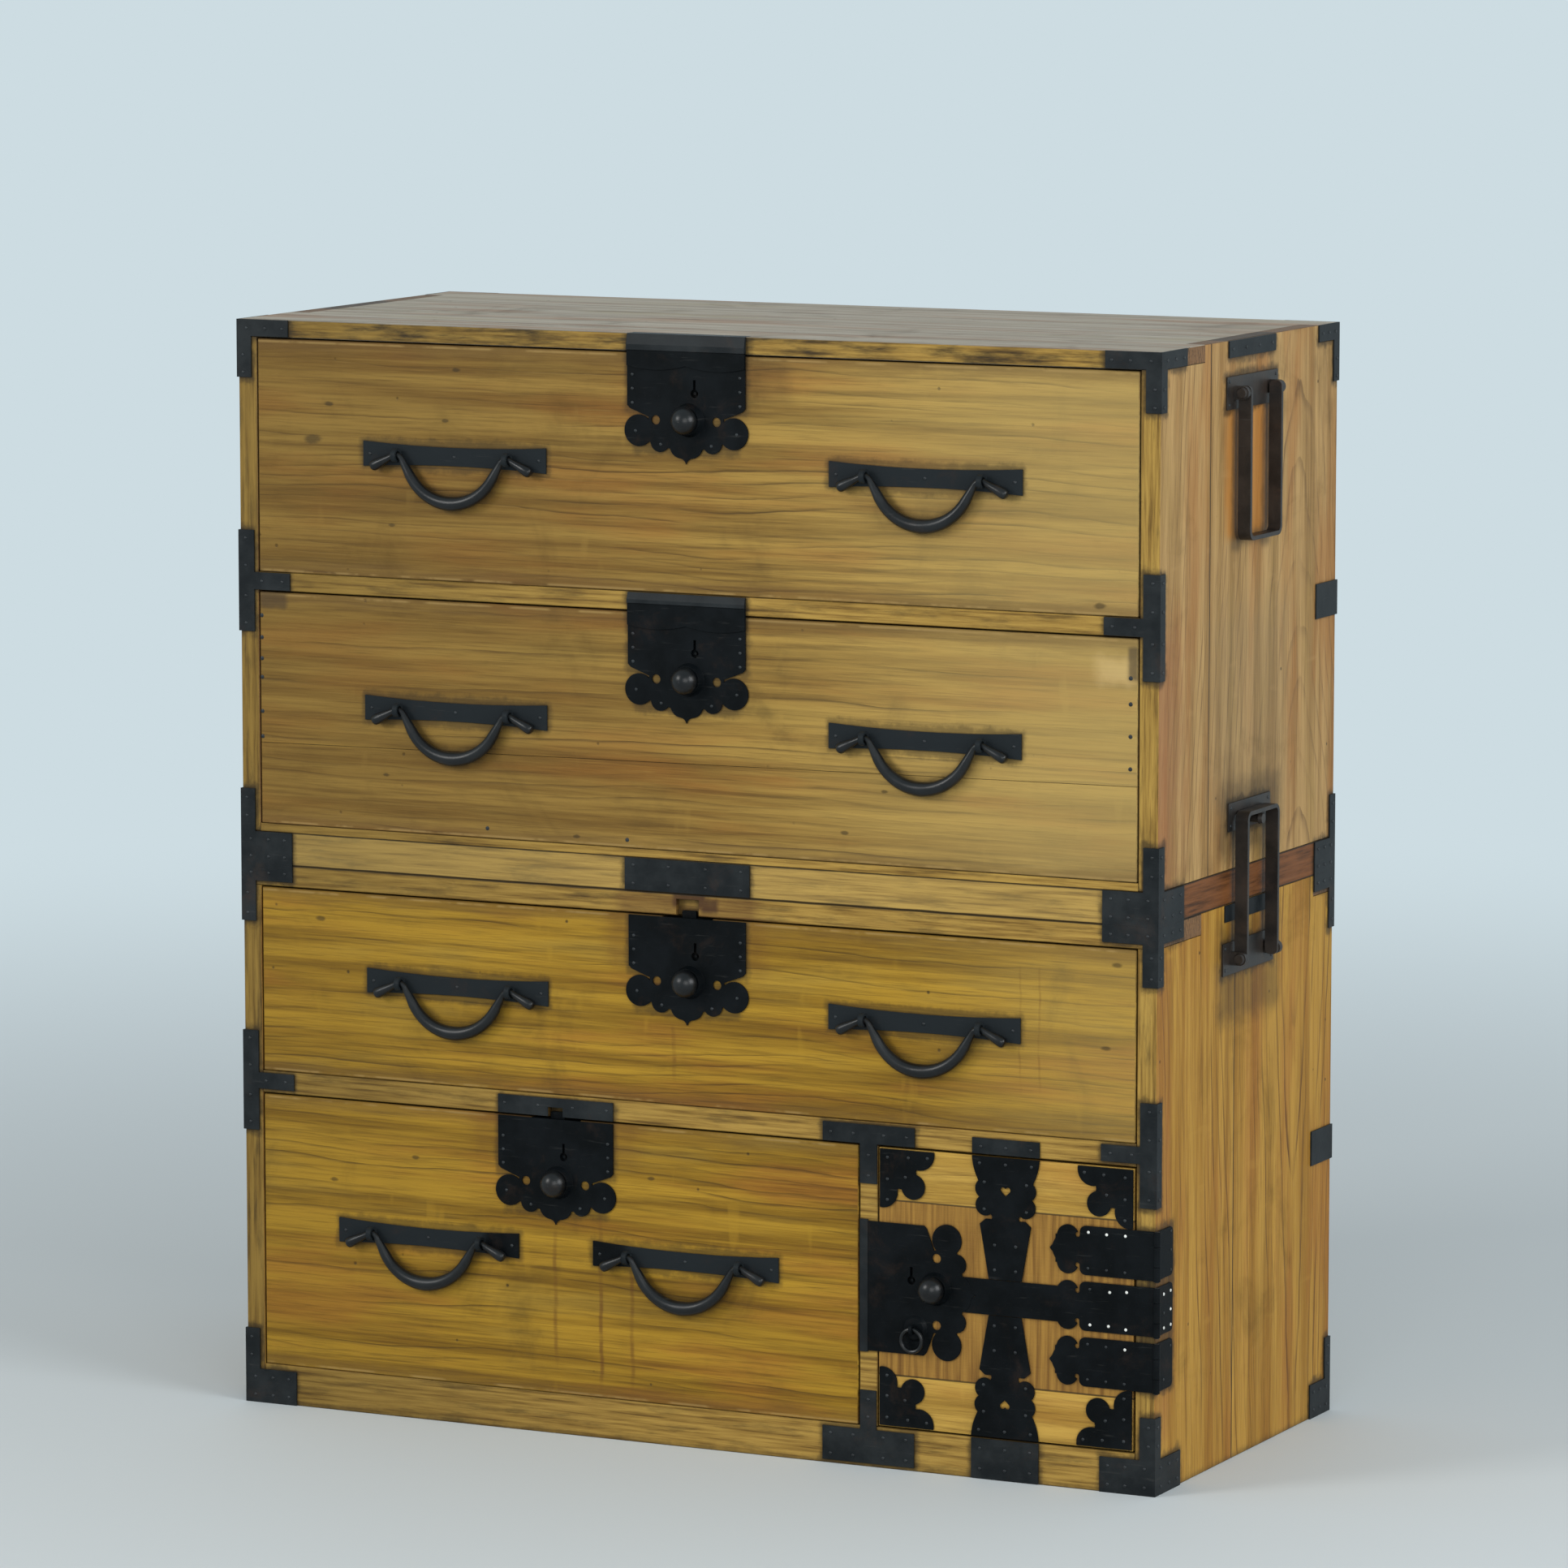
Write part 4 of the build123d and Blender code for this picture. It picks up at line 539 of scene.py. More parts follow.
def end_grain(s, colour, share):
    """Sawn ends of boards, with rings across them, over a share of the surface."""
    rings = s.sum("FRACT", s.times(s.sum("ADD", s.y, s.times(s.cloud(0.02, 2.0), 30.0)), 0.22))
    ends = s.blend(s.between(rings, 0.3, 0.95, 0.1, 0.6), linear(128, 94, 60), linear(66, 44, 27))
    ends = s.blend(s.between(s.cloud(0.25, 4.0, 0.7), 0.45, 0.7, 0.0, 0.5), ends, DIRT_AND_SHADE)
    return s.blend(share, colour, ends)


def upper_side_finish(s, colour):
    """Wood that the bail kept from fading, marks of its bars, and dirt round the lower handle."""

    def mark(colour, soft, strength, paint, *boxes):
        return stain(s, colour, [(IN, *box[:2], OUT, *box[2:]) for box in boxes], soft, strength, paint, True)

    colour = mark(colour, 14.0, 0.62, linear(176, 116, 50), (-52.0, 900.0, 46.0, 1016.0))
    colour = mark(colour, 9.0, 0.5, DIRT_AND_SHADE, (-43.0, 884.0, -30.0, 1010.0), (30.0, 884.0, 43.0, 1010.0))
    colour = mark(colour, 70.0, 0.5, linear(140, 88, 56), (FORE, BASE_TOP, -204.0, 800.0))
    colour = mark(colour, 60.0, 0.25, linear(112, 98, 74), (-60.0, 640.0, 70.0, 800.0))
    colour = mark(colour, 26.0, 0.5, DIRT_AND_SHADE, (-60.0, 600.0, 66.0, 648.0))
    colour = end_grain(s, colour, s.sum("GREATER_THAN", s.z, HEIGHT - 0.4))
    return halo(s, golden_front(s, colour, "z", 0.5), UPPER_IRONS, 9.0, 0.72)


def lower_side_finish(s, colour):
    """Dirt round the handle, a redder front edge, and the borders of the irons."""
    colour = stain(s, colour, [(IN, -60.0, 440.0, OUT, 66.0, 516.0)], 26.0, 0.5, DIRT_AND_SHADE, True)
    colour = stain(s, colour, [(IN, FORE, 60.0, OUT, -196.0, 500.0)], 20.0, 0.3, linear(140, 84, 44), True)
    colour = halo(s, golden_front(s, colour, "z"), LOWER_IRONS, 9.0, 0.72)
    return halo(s, colour, HINGE_SIDE, 9.0, 0.72, folded=False)


def top_finish(s, colour):
    """A darker front lip, and the borders of the irons below the upper face."""
    lip = s.sum("MULTIPLY_ADD", s.cloud(0.03, 4.0, 0.65), -40.0, s.sum("SUBTRACT", s.y, FRONT))
    colour = s.blend(s.between(lip, -26.0, -4.0, 0.5, 0.0), colour, linear(78, 62, 42))
    colour = end_grain(s, golden_front(s, colour, "x", 1.0), on_side(s))
    below = s.sum("LESS_THAN", s.z, HEIGHT - 0.4)
    return s.blend(below, colour, halo(s, colour, TOP_CORNERS + [TOP_EDGE_PLATE, TOP_KEEPER], 9.0, 0.7))


def base_finish(s, colour):
    """The base frame of the upper chest: pale in front, red-brown at the sides."""
    streak = s.noise(s.joined(s.times(s.y, 0.012), 0.0, s.times(s.z, 0.2)), 4.0, 0.62)
    red = s.blend(s.between(streak, 0.34, 0.66), RUSSET[0], RUSSET[1])
    red = s.blend(s.between(streak, 0.5, 0.7, 0.0, 0.7), red, RUSSET[2])
    pale = s.blend(0.16, golden_front(s, colour, "x", 0.45), linear(204, 178, 112))
    colour = parting(s, s.blend(on_side(s), pale, red), LOWER_HEIGHT, BASE_TOP)
    return halo(s, colour, BASE_CORNERS + [BASE_PLATE], 8.0, 0.7)


def lower_top_finish(s, colour):
    """The board over drawer 3, torn and rusty where its keeper was."""
    torn = [front_box(2.0, 537.0, 30.0, 8.0), front_box(24.0, 533.0, 12.0, 8.0)]
    colour = golden_front(s, colour, "x")
    colour = stain(s, colour, torn, 6.0, 0.9, linear(46, 30, 18))
    colour = stain(s, colour, [front_box(0.0, 532.0, 130.0, 12.0)], 22.0, 0.5, linear(84, 52, 26))
    colour = end_grain(s, colour, on_side(s))
    colour = parting(s, colour, LOWER_HEIGHT)
    return halo(s, colour, LOWER_TOP_CORNERS, 8.0, 0.7)


def rail_finish(s, colour):
    """Rails, upright and floor edge: oiled in front, with the borders of their irons."""
    colour = golden_front(s, colour, "x", 0.48)
    colour = halo(s, colour, RAIL_IRONS, 7.0, 0.6, folded=False)
    return halo(s, colour, [UPPER_TEE[0], LOWER_TEE[0], FOOT_CORNERS[0], RAIL_KEEPER], 7.0, 0.65)


def dress(names, material):
    """Give some nodes of the frame one material."""
    for name in names:
        mesh = nodes[name].data
        mesh.materials.clear()
        mesh.materials.append(material)


WOOD_NODES = set()


def wooden(names, *settings, **more):
    """Give some nodes a wood of their own; the settings are those of wood()."""
    WOOD_NODES.update(names)
    dress(names, wood(*settings, **more))


# drawer fronts: palette, pith from the middle of the front in y and z, ring, lines, streaks and seed
FRONT_WOODS = {
    "drawer_1": (HONEY, (60.0, 760.0), 10.5, 0.85, 0.6, 3.0),
    "drawer_2": (HONEY, (-70.0, -690.0), 12.0, 0.8, 0.55, 8.0),
    "drawer_3": (AMBER, (40.0, 640.0), 9.5, 0.7, 0.5, 13.0),
    "drawer_4": (AMBER, (-90.0, -720.0), 11.0, 0.66, 0.5, 18.0),
}
for name, (palette, pith, ring, lines, streaks, seed) in FRONT_WOODS.items():
    height = (DRAWERS[name]["low"] + DRAWERS[name]["high"]) / 2
    wooden(
        [f"{name}_front"],
        f"{name}_front_wood",
        "x",
        palette,
        (FRONT + pith[0], height + pith[1]),
        ring=ring,
        lines=lines,
        streaks=streaks,
        seed=seed,
        finish=drawer_finish(name),
    )
wooden(
    ["upper_rail", "lower_rails", "lower_partition", "upper_floor"],
    "rail_wood",
    "x",
    HONEY,
    (-150.0, 1480.0),
    ring=6.0,
    seed=31.0,
    finish=rail_finish,
)
wooden(
    ["upper_base_frame"],
    "base_wood",
    "x",
    HONEY,
    (-190.0, 1300.0),
    ring=7.0,
    seed=36.0,
    finish=base_finish,
)
wooden(
    ["lower_top"],
    "lower_top_wood",
    "x",
    HONEY,
    (-190.0, -600.0),
    ring=6.5,
    seed=38.0,
    finish=lower_top_finish,
)
wooden(
    ["upper_top"],
    "top_planks",
    "x",
    ASHEN,
    (0.0, 860.0),
    ring=8.0,
    lines=0.45,
    streaks=0.6,
    seed=41.0,
    planks=(("y", -150.0), ("y", -28.0), ("y", 96.0)),
    finish=top_finish,
)
wooden(
    ["upper_sides"],
    "upper_side_planks",
    "z",
    FADED,
    (420.0, 150.0),
    ring=10.0,
    lines=0.7,
    streaks=0.4,
    tilt=0.14,
    seed=50.0,
    planks=(("y", -98.0),),
    finish=upper_side_finish,
)
wooden(
    ["lower_sides"],
    "lower_side_planks",
    "z",
    ORANGE,
    (440.0, 96.0),
    ring=12.0,
    lines=0.9,
    streaks=0.3,
    tilt=-0.06,
    seed=57.0,
    planks=(("y", -30.0),),
    finish=lower_side_finish,
)
wooden(
    ["upper_back", "lower_back"],
    "back_planks",
    "x",
    PALE,
    (300.0, 400.0),
    ring=7.0,
    lines=0.6,
    seed=60.0,
    planks=(("z", 150.0), ("z", 330.0), ("z", 700.0), ("z", 880.0)),
)
wooden(
    ["lower_bottom", "drawer_runners"] + [f"{name}_box" for name in DRAWERS],
    "plain_wood",
    "x",
    PALE,
    (-60.0, 150.0),
    ring=6.0,
    lines=0.4,
    seed=70.0,
)


# half the height of the upright boards between the door's two cross boards
DOOR_UPRIGHTS = 85.0


def door_finish(s, colour):
    """Upright boards in the middle of the door, darker than the two cross boards."""
    off = s.sum("ABSOLUTE", s.sum("SUBTRACT", s.z, DOOR_CENTRE[1]))
    inside = s.between(off, DOOR_UPRIGHTS - 0.6, DOOR_UPRIGHTS + 0.4, 1.0, 0.0)
    streak = s.noise(s.joined(s.times(s.x, 0.2), 0.0, s.times(s.z, 0.008)), 4.0, 0.62)
    upright = s.blend(s.between(streak, 0.34, 0.66), linear(156, 117, 52), linear(122, 86, 36))
    upright = s.blend(s.between(streak, 0.55, 0.75, 0.0, 0.45), upright, linear(80, 52, 22))
    colour = s.blend(inside, colour, upright)
    edge = s.sum("ABSOLUTE", s.sum("SUBTRACT", off, DOOR_UPRIGHTS))
    return s.blend(s.between(edge, 0.4, 1.3, 0.8, 0.0), colour, DIRT_AND_SHADE)


wooden(["door_boards"], "door_wood", "x", BATTEN, (-180.0, 900.0), seed=80.0, finish=door_finish)


# ---------------------------------------------------------------- iron


def forged_iron(name, dark, bright, gloss, rust=0.25, rough=0.5, hammer=0.4, paler=None):
    """Blackened iron: uneven oxide, brown rust blooms and shallow hammer marks.

    dark and bright are the ends of its tone, rust, gloss and hammer how strong each of these is.
    paler gives a share of lighter, worn iron from the place on the object.
    """
    s = Shader(name)
    cloud = s.cloud(0.03, 5.0, 0.6)
    grit = s.cloud(0.5, 3.0, 0.6)
    base = s.blend(s.between(cloud, 0.3, 0.72), linear(*dark), linear(*bright))
    if paler:
        base = s.blend(paler(s), base, linear(36, 41, 44))
    blooms = s.between(s.cloud(0.022, 6.0, 0.7, 0.4), 0.54, 0.76, 0.0, rust)
    base = s.blend(blooms, base, linear(62, 46, 36))
    base = s.blend(s.between(grit, 0.64, 0.84, 0.0, 0.16), base, linear(84, 82, 78))
    scuff = s.noise(s.vector("MULTIPLY", s.place, (0.03, 0.03, 0.4)), 4.0, 0.6)
    base = s.blend(s.between(scuff, 0.62, 0.76, 0.0, 0.22), base, linear(72, 72, 70))
    s.put(s.surface.inputs["Base Color"], base)
    s.surface.inputs["Specular IOR Level"].default_value = gloss
    s.put(s.surface.inputs["Roughness"], s.sum("MULTIPLY_ADD", cloud, 0.24, rough - 0.12))
    height = s.sum("MULTIPLY_ADD", grit, 0.25, s.times(s.cloud(0.09, 2.0), hammer * 2.0))
    s.relief(height, 0.22, 0.5)
    return s.material


def beside_lock(middle):
    """A share for forged_iron(): worn iron on what lies beside the lock, which is the handle plates."""
    return lambda s: s.between(s.sum("ABSOLUTE", s.sum("SUBTRACT", s.x, middle)), 72.0, 84.0, 0.0, 0.75)


PLATE_TONES = ((5, 8, 10), (14, 18, 21))
PLATE = forged_iron("plate_iron", *PLATE_TONES, gloss=0.07)
CASE = forged_iron("case_iron", (14, 19, 22), (34, 38, 40), rust=0.35, gloss=0.16)
STRAP = forged_iron("strap_iron", (20, 18, 17), (46, 39, 34), rust=0.6, gloss=0.35, rough=0.46)
WORKED = forged_iron("worked_iron", (7, 9, 11), (20, 23, 25), rough=0.33, gloss=0.32, hammer=0.2)
NAIL = forged_iron("nail_iron", (18, 22, 25), (38, 43, 46), rust=0.2, rough=0.38, gloss=0.34)
BRIGHT = forged_iron("bright_nail", (206, 208, 202), (236, 238, 234), rust=0.05, rough=0.4, gloss=0.5)
DRAWER_PLATES = {
    name: forged_iron(f"{name}_plate_iron", *PLATE_TONES, gloss=0.07, paler=beside_lock(drawer["middle"]))
    for name, drawer in DRAWERS.items()
}
SIDE_HANDLES = ("upper_left_bail", "upper_right_bail", "lower_left_bail", "lower_right_bail", "handle_plates")

for node in nodes:
    if node in WOOD_NODES:
        continue
    if node.startswith("drawer") and node.endswith("_irons"):
        dress([node], DRAWER_PLATES[node.removesuffix("_irons")])
    elif node in ("upper_irons", "lower_irons"):
        dress([node], CASE)
    elif node.endswith(SIDE_HANDLES) and not node.startswith("door"):
        dress([node], STRAP)
    elif node.endswith(("_bail", "_button", "_ring", "_pins")):
        dress([node], WORKED)
    else:
        dress([node], PLATE)


# ---------------------------------------------------------------- new pieces


def piece(name, mesh_maker, body, material, smooth=True):
    """A new object that moves with a body; mesh_maker fills its mesh."""
    mesh = bpy.data.meshes.new(name)
    shape = bmesh.new()
    mesh_maker(shape)
    bmesh.ops.recalc_face_normals(shape, faces=shape.faces)
    for face in shape.faces:
        face.smooth = smooth
    shape.to_mesh(mesh)
    shape.free()
    mesh.materials.append(material)
    made = bpy.data.objects.new(name, mesh)
    bpy.context.scene.collection.objects.link(made)
    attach(made, body)
    return made


def loft(shape, rings):
    """Skins closed rings of points, in mm, with a cap at each end."""
    sides = len(rings[0])
    rows = [[shape.verts.new(Vector(point) * MM) for point in ring] for ring in rings]
    for low, high in zip(rows, rows[1:]):
        for i in range(sides):
            shape.faces.new((low[i], low[(i + 1) % sides], high[(i + 1) % sides], high[i]))
    shape.faces.new(rows[0][::-1])
    shape.faces.new(rows[-1])


# a drawer bail: the drop of its bow below the pivot line, and its radius there, at the shoulders and eyes
BAIL_DROP = 45.0
BOW_RADIUS, SHOULDER_RADIUS, EYE_RADIUS = 7.4, 5.2, 3.2
# the tail swells and ends in a point: (share of its length, radius)
TAIL = ((0.2, 3.4), (0.42, 4.3), (0.62, 5.1), (0.8, 5.5), (0.9, 5.3), (0.96, 4.5), (0.99, 3.2), (1.0, 1.4))
BAIL_SIDES = 20
# the round section is this much thinner, which keeps it inside the outline of the CAD bail
BAIL_SHARE = 0.965


def bail_path():
    """Half of a drawer bail in x and z from its pivot line: (x, z, heading, radius) along it.

    It is an arc, a straight arm up to the eye, a bend through the eye and a tail that turns out.
    """
    spread, slope, tail_slope, bend, tail = 61.0, radians(60.0), radians(26.0), 8.2, 26.0
    both_radii = (tan(slope) * spread - BAIL_DROP) / (tan(slope) * sin(slope) - 1 + cos(slope))
    bow = both_radii - bend
    rod = (spread - both_radii * sin(slope)) / cos(slope)
    path = []
    for i in range(11):
        turn = slope * i / 10
        radius = BOW_RADIUS - (BOW_RADIUS - SHOULDER_RADIUS) * i / 10
        path.append((bow * sin(turn), bow * (1 - cos(turn)) - BAIL_DROP, turn, radius))
    x, z = path[-1][:2]
    for i in range(1, 5):
        radius = SHOULDER_RADIUS - (SHOULDER_RADIUS - EYE_RADIUS) * i / 5
        path.append((x + rod * cos(slope) * i / 5, z + rod * sin(slope) * i / 5, slope, radius))
    x, z = x + rod * cos(slope), z + rod * sin(slope)
    for i in range(9):
        turn = slope - (slope + tail_slope) * i / 8
        along, up = bend * (sin(slope) - sin(turn)), bend * (cos(turn) - cos(slope))
        path.append((x + along, z + up, turn, EYE_RADIUS))
    x, z = path[-1][:2]
    for share, radius in TAIL:
        along, down = tail * share * cos(tail_slope), tail * share * sin(tail_slope)
        path.append((x + along, z - down, -tail_slope, radius))
    return path


def bail(name, hand):
    """A smooth forged bail in the place of the CAD one, thick in the middle and at its tails."""
    node = f"{name}_{hand}_bail"
    low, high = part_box(node)
    middle_x, middle_y = (low.x + high.x) / 2 / MM, (low.y + high.y) / 2 / MM
    pivot_z = low.z / MM + BOW_RADIUS + BAIL_DROP
    half = bail_path()
    stations = [(-x, z, -turn, radius) for x, z, turn, radius in reversed(half[1:])] + half

    def make(shape):
        rings = []
        for x, z, turn, radius in stations:
            ring = []
            for i in range(BAIL_SIDES):
                angle = 2 * pi * i / BAIL_SIDES
                up, out = BAIL_SHARE * radius * cos(angle), BAIL_SHARE * radius * sin(angle)
                ring.append((middle_x + x - up * sin(turn), middle_y - out, pivot_z + z + up * cos(turn)))
            rings.append(ring)
        loft(shape, rings)

    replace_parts(piece(f"{node}_forged", make, node, WORKED), node)


# for each face of the case, the way out of it and the way along it
FACES = {
    "front": (Vector((0, -1, 0)), Vector((1, 0, 0))),
    "back": (Vector((0, 1, 0)), Vector((1, 0, 0))),
    "right": (Vector((1, 0, 0)), Vector((0, 1, 0))),
    "left": (Vector((-1, 0, 0)), Vector((0, 1, 0))),
}


# a nail head: (share of its radius, share of its rise), from under the plate to its crown
DOME = ((1.0, -0.4), (1.0, 0.1), (0.86, 0.55), (0.5, 0.9), (0.16, 1.0))
DOME_SIDES = 12


def nails(name, body, spots, level, face="front", radius=1.7, rise=0.9, material=NAIL):
    """Domed nail heads on a plate; spots are (along, height) and level is the plate's face."""
    out, across = FACES[face]
    up = Vector((0, 0, 1))

    def make(shape):
        for along, height in spots:
            centre = across * along + up * height + out * level
            rings = []
            for reach, lift in DOME:
                ring = []
                for i in range(DOME_SIDES):
                    turn = 2 * pi * i / DOME_SIDES
                    spoke = across * cos(turn) + up * sin(turn)
                    ring.append(centre + spoke * radius * reach + out * rise * lift)
                rings.append(ring)
            loft(shape, rings)

    return piece(name, make, body, material)


def both(*values):
    """Each distance from the middle, to the left and to the right."""
    return [sign * value for value in values for sign in (-1, 1)]


def grid(alongs, heights, middle=0.0, height=0.0):
    """Spots at every place along a face and every height, both from a middle and a height."""
    return [(middle + along, height + z) for along in alongs for z in heights]


LEVEL = -FRONT + IRON
SIDE_LEVEL = SIDE + IRON
# heights of nails in the corner irons, and places along the sides
TOP_ROW, BASE_ROWS, LOWER_TOP_ROW, FOOT_ROWS = (1073.5,), (551.0, 568.0), (534.5,), (8.0, 26.0)
UPPER_LEGS, LOWER_LEGS = (1047.0, 1030.0, 609.0, 591.0), (514.0, 494.0, 66.0, 48.0)
TEE_STEM = (-42.0, -15.0, 15.0, 42.0)
FORE_NAILS, AFT_NAILS = (-205.0, -185.0, -166.0), (176.0, 192.0, 208.0)
# the T irons over and under the upright beside the door, and the plates over and under the door
UPRIGHT = 194.0
UPRIGHT_ARM = (-40.0, -16.0, 16.0, 40.0)
DOOR_PLATE = (-26.0, 0.0, 26.0)
UPPER_FRONT_NAILS = (
    grid(both(483.0, 462.0, 443.0), TOP_ROW)
    + grid(both(487.0), UPPER_LEGS)
    + grid(both(468.0, 445.0), (TEE_HEIGHTS[0],))
    + grid(both(486.0), TEE_STEM, height=TEE_HEIGHTS[0])
    + grid(both(483.0, 463.0, 445.0), BASE_ROWS)
    + grid(both(58.0, 20.0), (550.5, 568.5))
)
LOWER_FRONT_NAILS = (
    grid(both(483.0, 463.0, 445.0), LOWER_TOP_ROW)
    + grid(both(487.0), LOWER_LEGS)
    + grid(both(468.0, 446.0), (TEE_HEIGHTS[1],))
    + grid(both(486.0), TEE_STEM, height=TEE_HEIGHTS[1])
    + grid(both(483.0, 463.0, 445.0), FOOT_ROWS)
    + grid(UPRIGHT_ARM, (324.0,), UPRIGHT)
    + grid((UPRIGHT,), (304.0, 284.0))
    + grid(UPRIGHT_ARM, (10.0, 30.0), UPRIGHT)
    + grid((UPRIGHT,), (49.0, 66.0))
    + grid(DOOR_PLATE, (10.0, 30.0), DOOR_CENTRE[0])
    + grid(DOOR_PLATE, (322.0,), DOOR_CENTRE[0])
    + grid((-56.0, -19.0, 19.0, 56.0), (325.0,), DRAWERS["drawer_4"]["middle"])
)
SIDE_NAILS = (
    grid((*FORE_NAILS, -48.0, -16.0, 16.0, 48.0, *AFT_NAILS), TOP_ROW)
    + grid((-212.0, 212.0), UPPER_LEGS + LOWER_LEGS)
    + grid(FORE_NAILS + AFT_NAILS, BASE_ROWS + LOWER_TOP_ROW + FOOT_ROWS)
    + grid((-212.0,), TEE_STEM, height=TEE_HEIGHTS[0])
    + grid((-212.0,), TEE_STEM, height=TEE_HEIGHTS[1])
    + grid((-57.0, 57.0), (1021.0, 1043.0, 480.0, 501.0))
    + grid((-46.0, 46.0), (618.0, 635.0))
)
BACK_NAILS = grid(both(483.0, 463.0), TOP_ROW + BASE_ROWS + LOWER_TOP_ROW + FOOT_ROWS)
nails("upper_front_nails", "case", UPPER_FRONT_NAILS, LEVEL)
nails("lower_front_nails", "case", LOWER_FRONT_NAILS, LEVEL)
for face in ("right", "left"):
    nails(f"{face}_side_nails", "case", SIDE_NAILS, SIDE_LEVEL, face)
nails("back_nails", "case", BACK_NAILS, BACK + IRON, "back")

# nails of a lock plate from its middle and datum: heights along its edges, and places on its lobes
LOCK_EDGE_NAILS = (-20.0, -33.5, -47.0)
LOCK_LOBE_NAILS = ((-54.0, -74.0), (54.0, -74.0), (-27.0, -86.0), (27.0, -86.0))
for name, drawer in DRAWERS.items():
    bail(name, "left")
    bail(name, "right")
    middle, datum = drawer["middle"], drawer["datum"]
    spots = grid((-57.5, 57.5), LOCK_EDGE_NAILS, middle, datum)
    spots += [(middle + x, datum + z) for x, z in LOCK_LOBE_NAILS]
    for x in drawer["handles"]:
        spots += grid((-93.0, 0.0, 93.0), (drawer["handle"],), x)
    nails(f"{name}_nails", name, spots, LEVEL)

# iron pegs that hold the front of drawer 2 to its box
PEGS = [(-469.0, z) for z in (790.5, 768.8, 747.9, 729.4, 695.5, 670.5)]
PEGS += [(463.7, z) for z in (776.5, 752.1, 721.6, 691.0)] + [(-65.0, 592.0), (-218.0, 594.0)]
nails("drawer_2_pegs", "drawer_2", PEGS, -FRONT, radius=2.1, rise=0.5)

# the door stands proud by this much
DOOR_PROUD = 0.3
DOOR_LEVEL = -FRONT + DOOR_PROUD + IRON
# nails of the door's corner ornaments, from its corners, then of its centre band
ORNAMENT = ((8.0, 9.0), (30.0, 8.0), (50.0, 7.0), (8.0, 30.0), (8.0, 50.0), (27.0, 27.0))
DOOR_NAILS = []
for x_edge, x_way in ((206.3, 1), (469.7, -1)):
    for z_edge, z_way in ((41.8, 1), (312.7, -1)):
        DOOR_NAILS += [(x_edge + x_way * x, z_edge + z_way * z) for x, z in ORNAMENT]
DOOR_NAILS += grid((-27.0, 0.0, 27.0), (48.0, 306.0), DOOR_CENTRE[0])
DOOR_NAILS += grid((-22.0, 22.0), (66.0, 92.0, 262.0, 288.0), DOOR_CENTRE[0])
DOOR_NAILS += grid((-11.0, 11.0), (126.0, 150.0, 204.0, 228.0), DOOR_CENTRE[0])
# nails of the moving hinge leaves, iron and white-headed, unevenly spaced
LEAF_NAILS = [
    (424.0, 214.0),
    (443.0, 213.5),
    (462.0, 213.0),
    (426.0, 194.0),
    (424.0, 141.0),
    (443.0, 140.0),
    (424.0, 107.0),
    (443.0, 106.5),
    (462.0, 106.0),
]
WHITE_NAILS = [
    (424.2, 248.5),
    (443.0, 247.7),
    (462.3, 247.9),
    (446.5, 192.7),
    (463.9, 194.2),
    (426.3, 159.8),
    (445.4, 160.0),
    (463.2, 158.3),
    (462.4, 139.0),
]
nails("door_nails", "door", DOOR_NAILS, DOOR_LEVEL)
nails("door_leaf_nails", "door", LEAF_NAILS, DOOR_LEVEL, radius=1.5, rise=0.8)
nails("door_white_nails", "door", WHITE_NAILS, DOOR_LEVEL, radius=1.5, rise=0.8, material=BRIGHT)


def side_leaves(shape):
    """The hinge leaves run on round the corner, along the side of the case."""
    root, end, face = -203.2, -178.5, SIDE_LEVEL
    for centre in (230.85, DOOR_CENTRE[1], 123.65):
        low, high = centre - 23.3, centre + 23.3
        outline = [
            (root, low),
            (end - 5.0, low),
            (end - 1.4, low + 1.4),
            (end, low + 5.0),
            (end, high - 5.0),
            (end - 1.4, high - 1.4),
            (end - 5.0, high),
            (root, high),
        ]
        rings = [[(x, y, z) for y, z in outline] for x in (SIDE, face - 0.3)]
        # the outer face is a little smaller, so that its edge catches the light
        rings.append([(face, y - (0.3 if y > root else 0.0), z * 0.998 + centre * 0.002) for y, z in outline])
        loft(shape, rings)


# nails of the fixed hinge leaves, on the side
SIDE_LEAF_NAILS = [
    (-184.0, 250.0),
    (-184.0, 232.0),
    (-184.0, 213.0),
    (-200.0, 174.0),
    (-184.0, 140.0),
    (-200.0, 110.0),
]
SIDE_WHITE_NAILS = [(-184.2, 192.9), (-200.3, 192.0), (-183.9, 175.0), (-199.8, 159.5), (-183.6, 160.0)]
piece("side_leaves", side_leaves, "case", PLATE, smooth=False)
nails("side_leaf_nails", "case", SIDE_LEAF_NAILS, SIDE_LEVEL, "right", radius=1.4, rise=0.7)
nails(
    "side_leaf_white_nails",
    "case",
    SIDE_WHITE_NAILS,
    SIDE_LEVEL,
    "right",
    radius=1.6,
    rise=0.8,
    material=BRIGHT,
)


# ---------------------------------------------------------------- stage, light and camera

BACKDROP = linear(205, 220, 226)

FLOOR_REACH = 200.0
# distances from the middle of the floor, in mm, where it starts and ends to fade into the backdrop
FADE_START, FADE_END = 900.0, 4200.0


def looking(tree):
    """1 for rays from the camera, and for rays through gloss or glass, else 0."""
    rays = tree.nodes.new("ShaderNodeLightPath").outputs
    share = rays["Is Camera Ray"]
    for kind in ("Is Glossy Ray", "Is Transmission Ray"):
        either = tree.nodes.new("ShaderNodeMath")
        either.operation = "MAXIMUM"
        tree.links.new(share, either.inputs[0])
        tree.links.new(rays[kind], either.inputs[1])
        share = either.outputs[0]
    return share


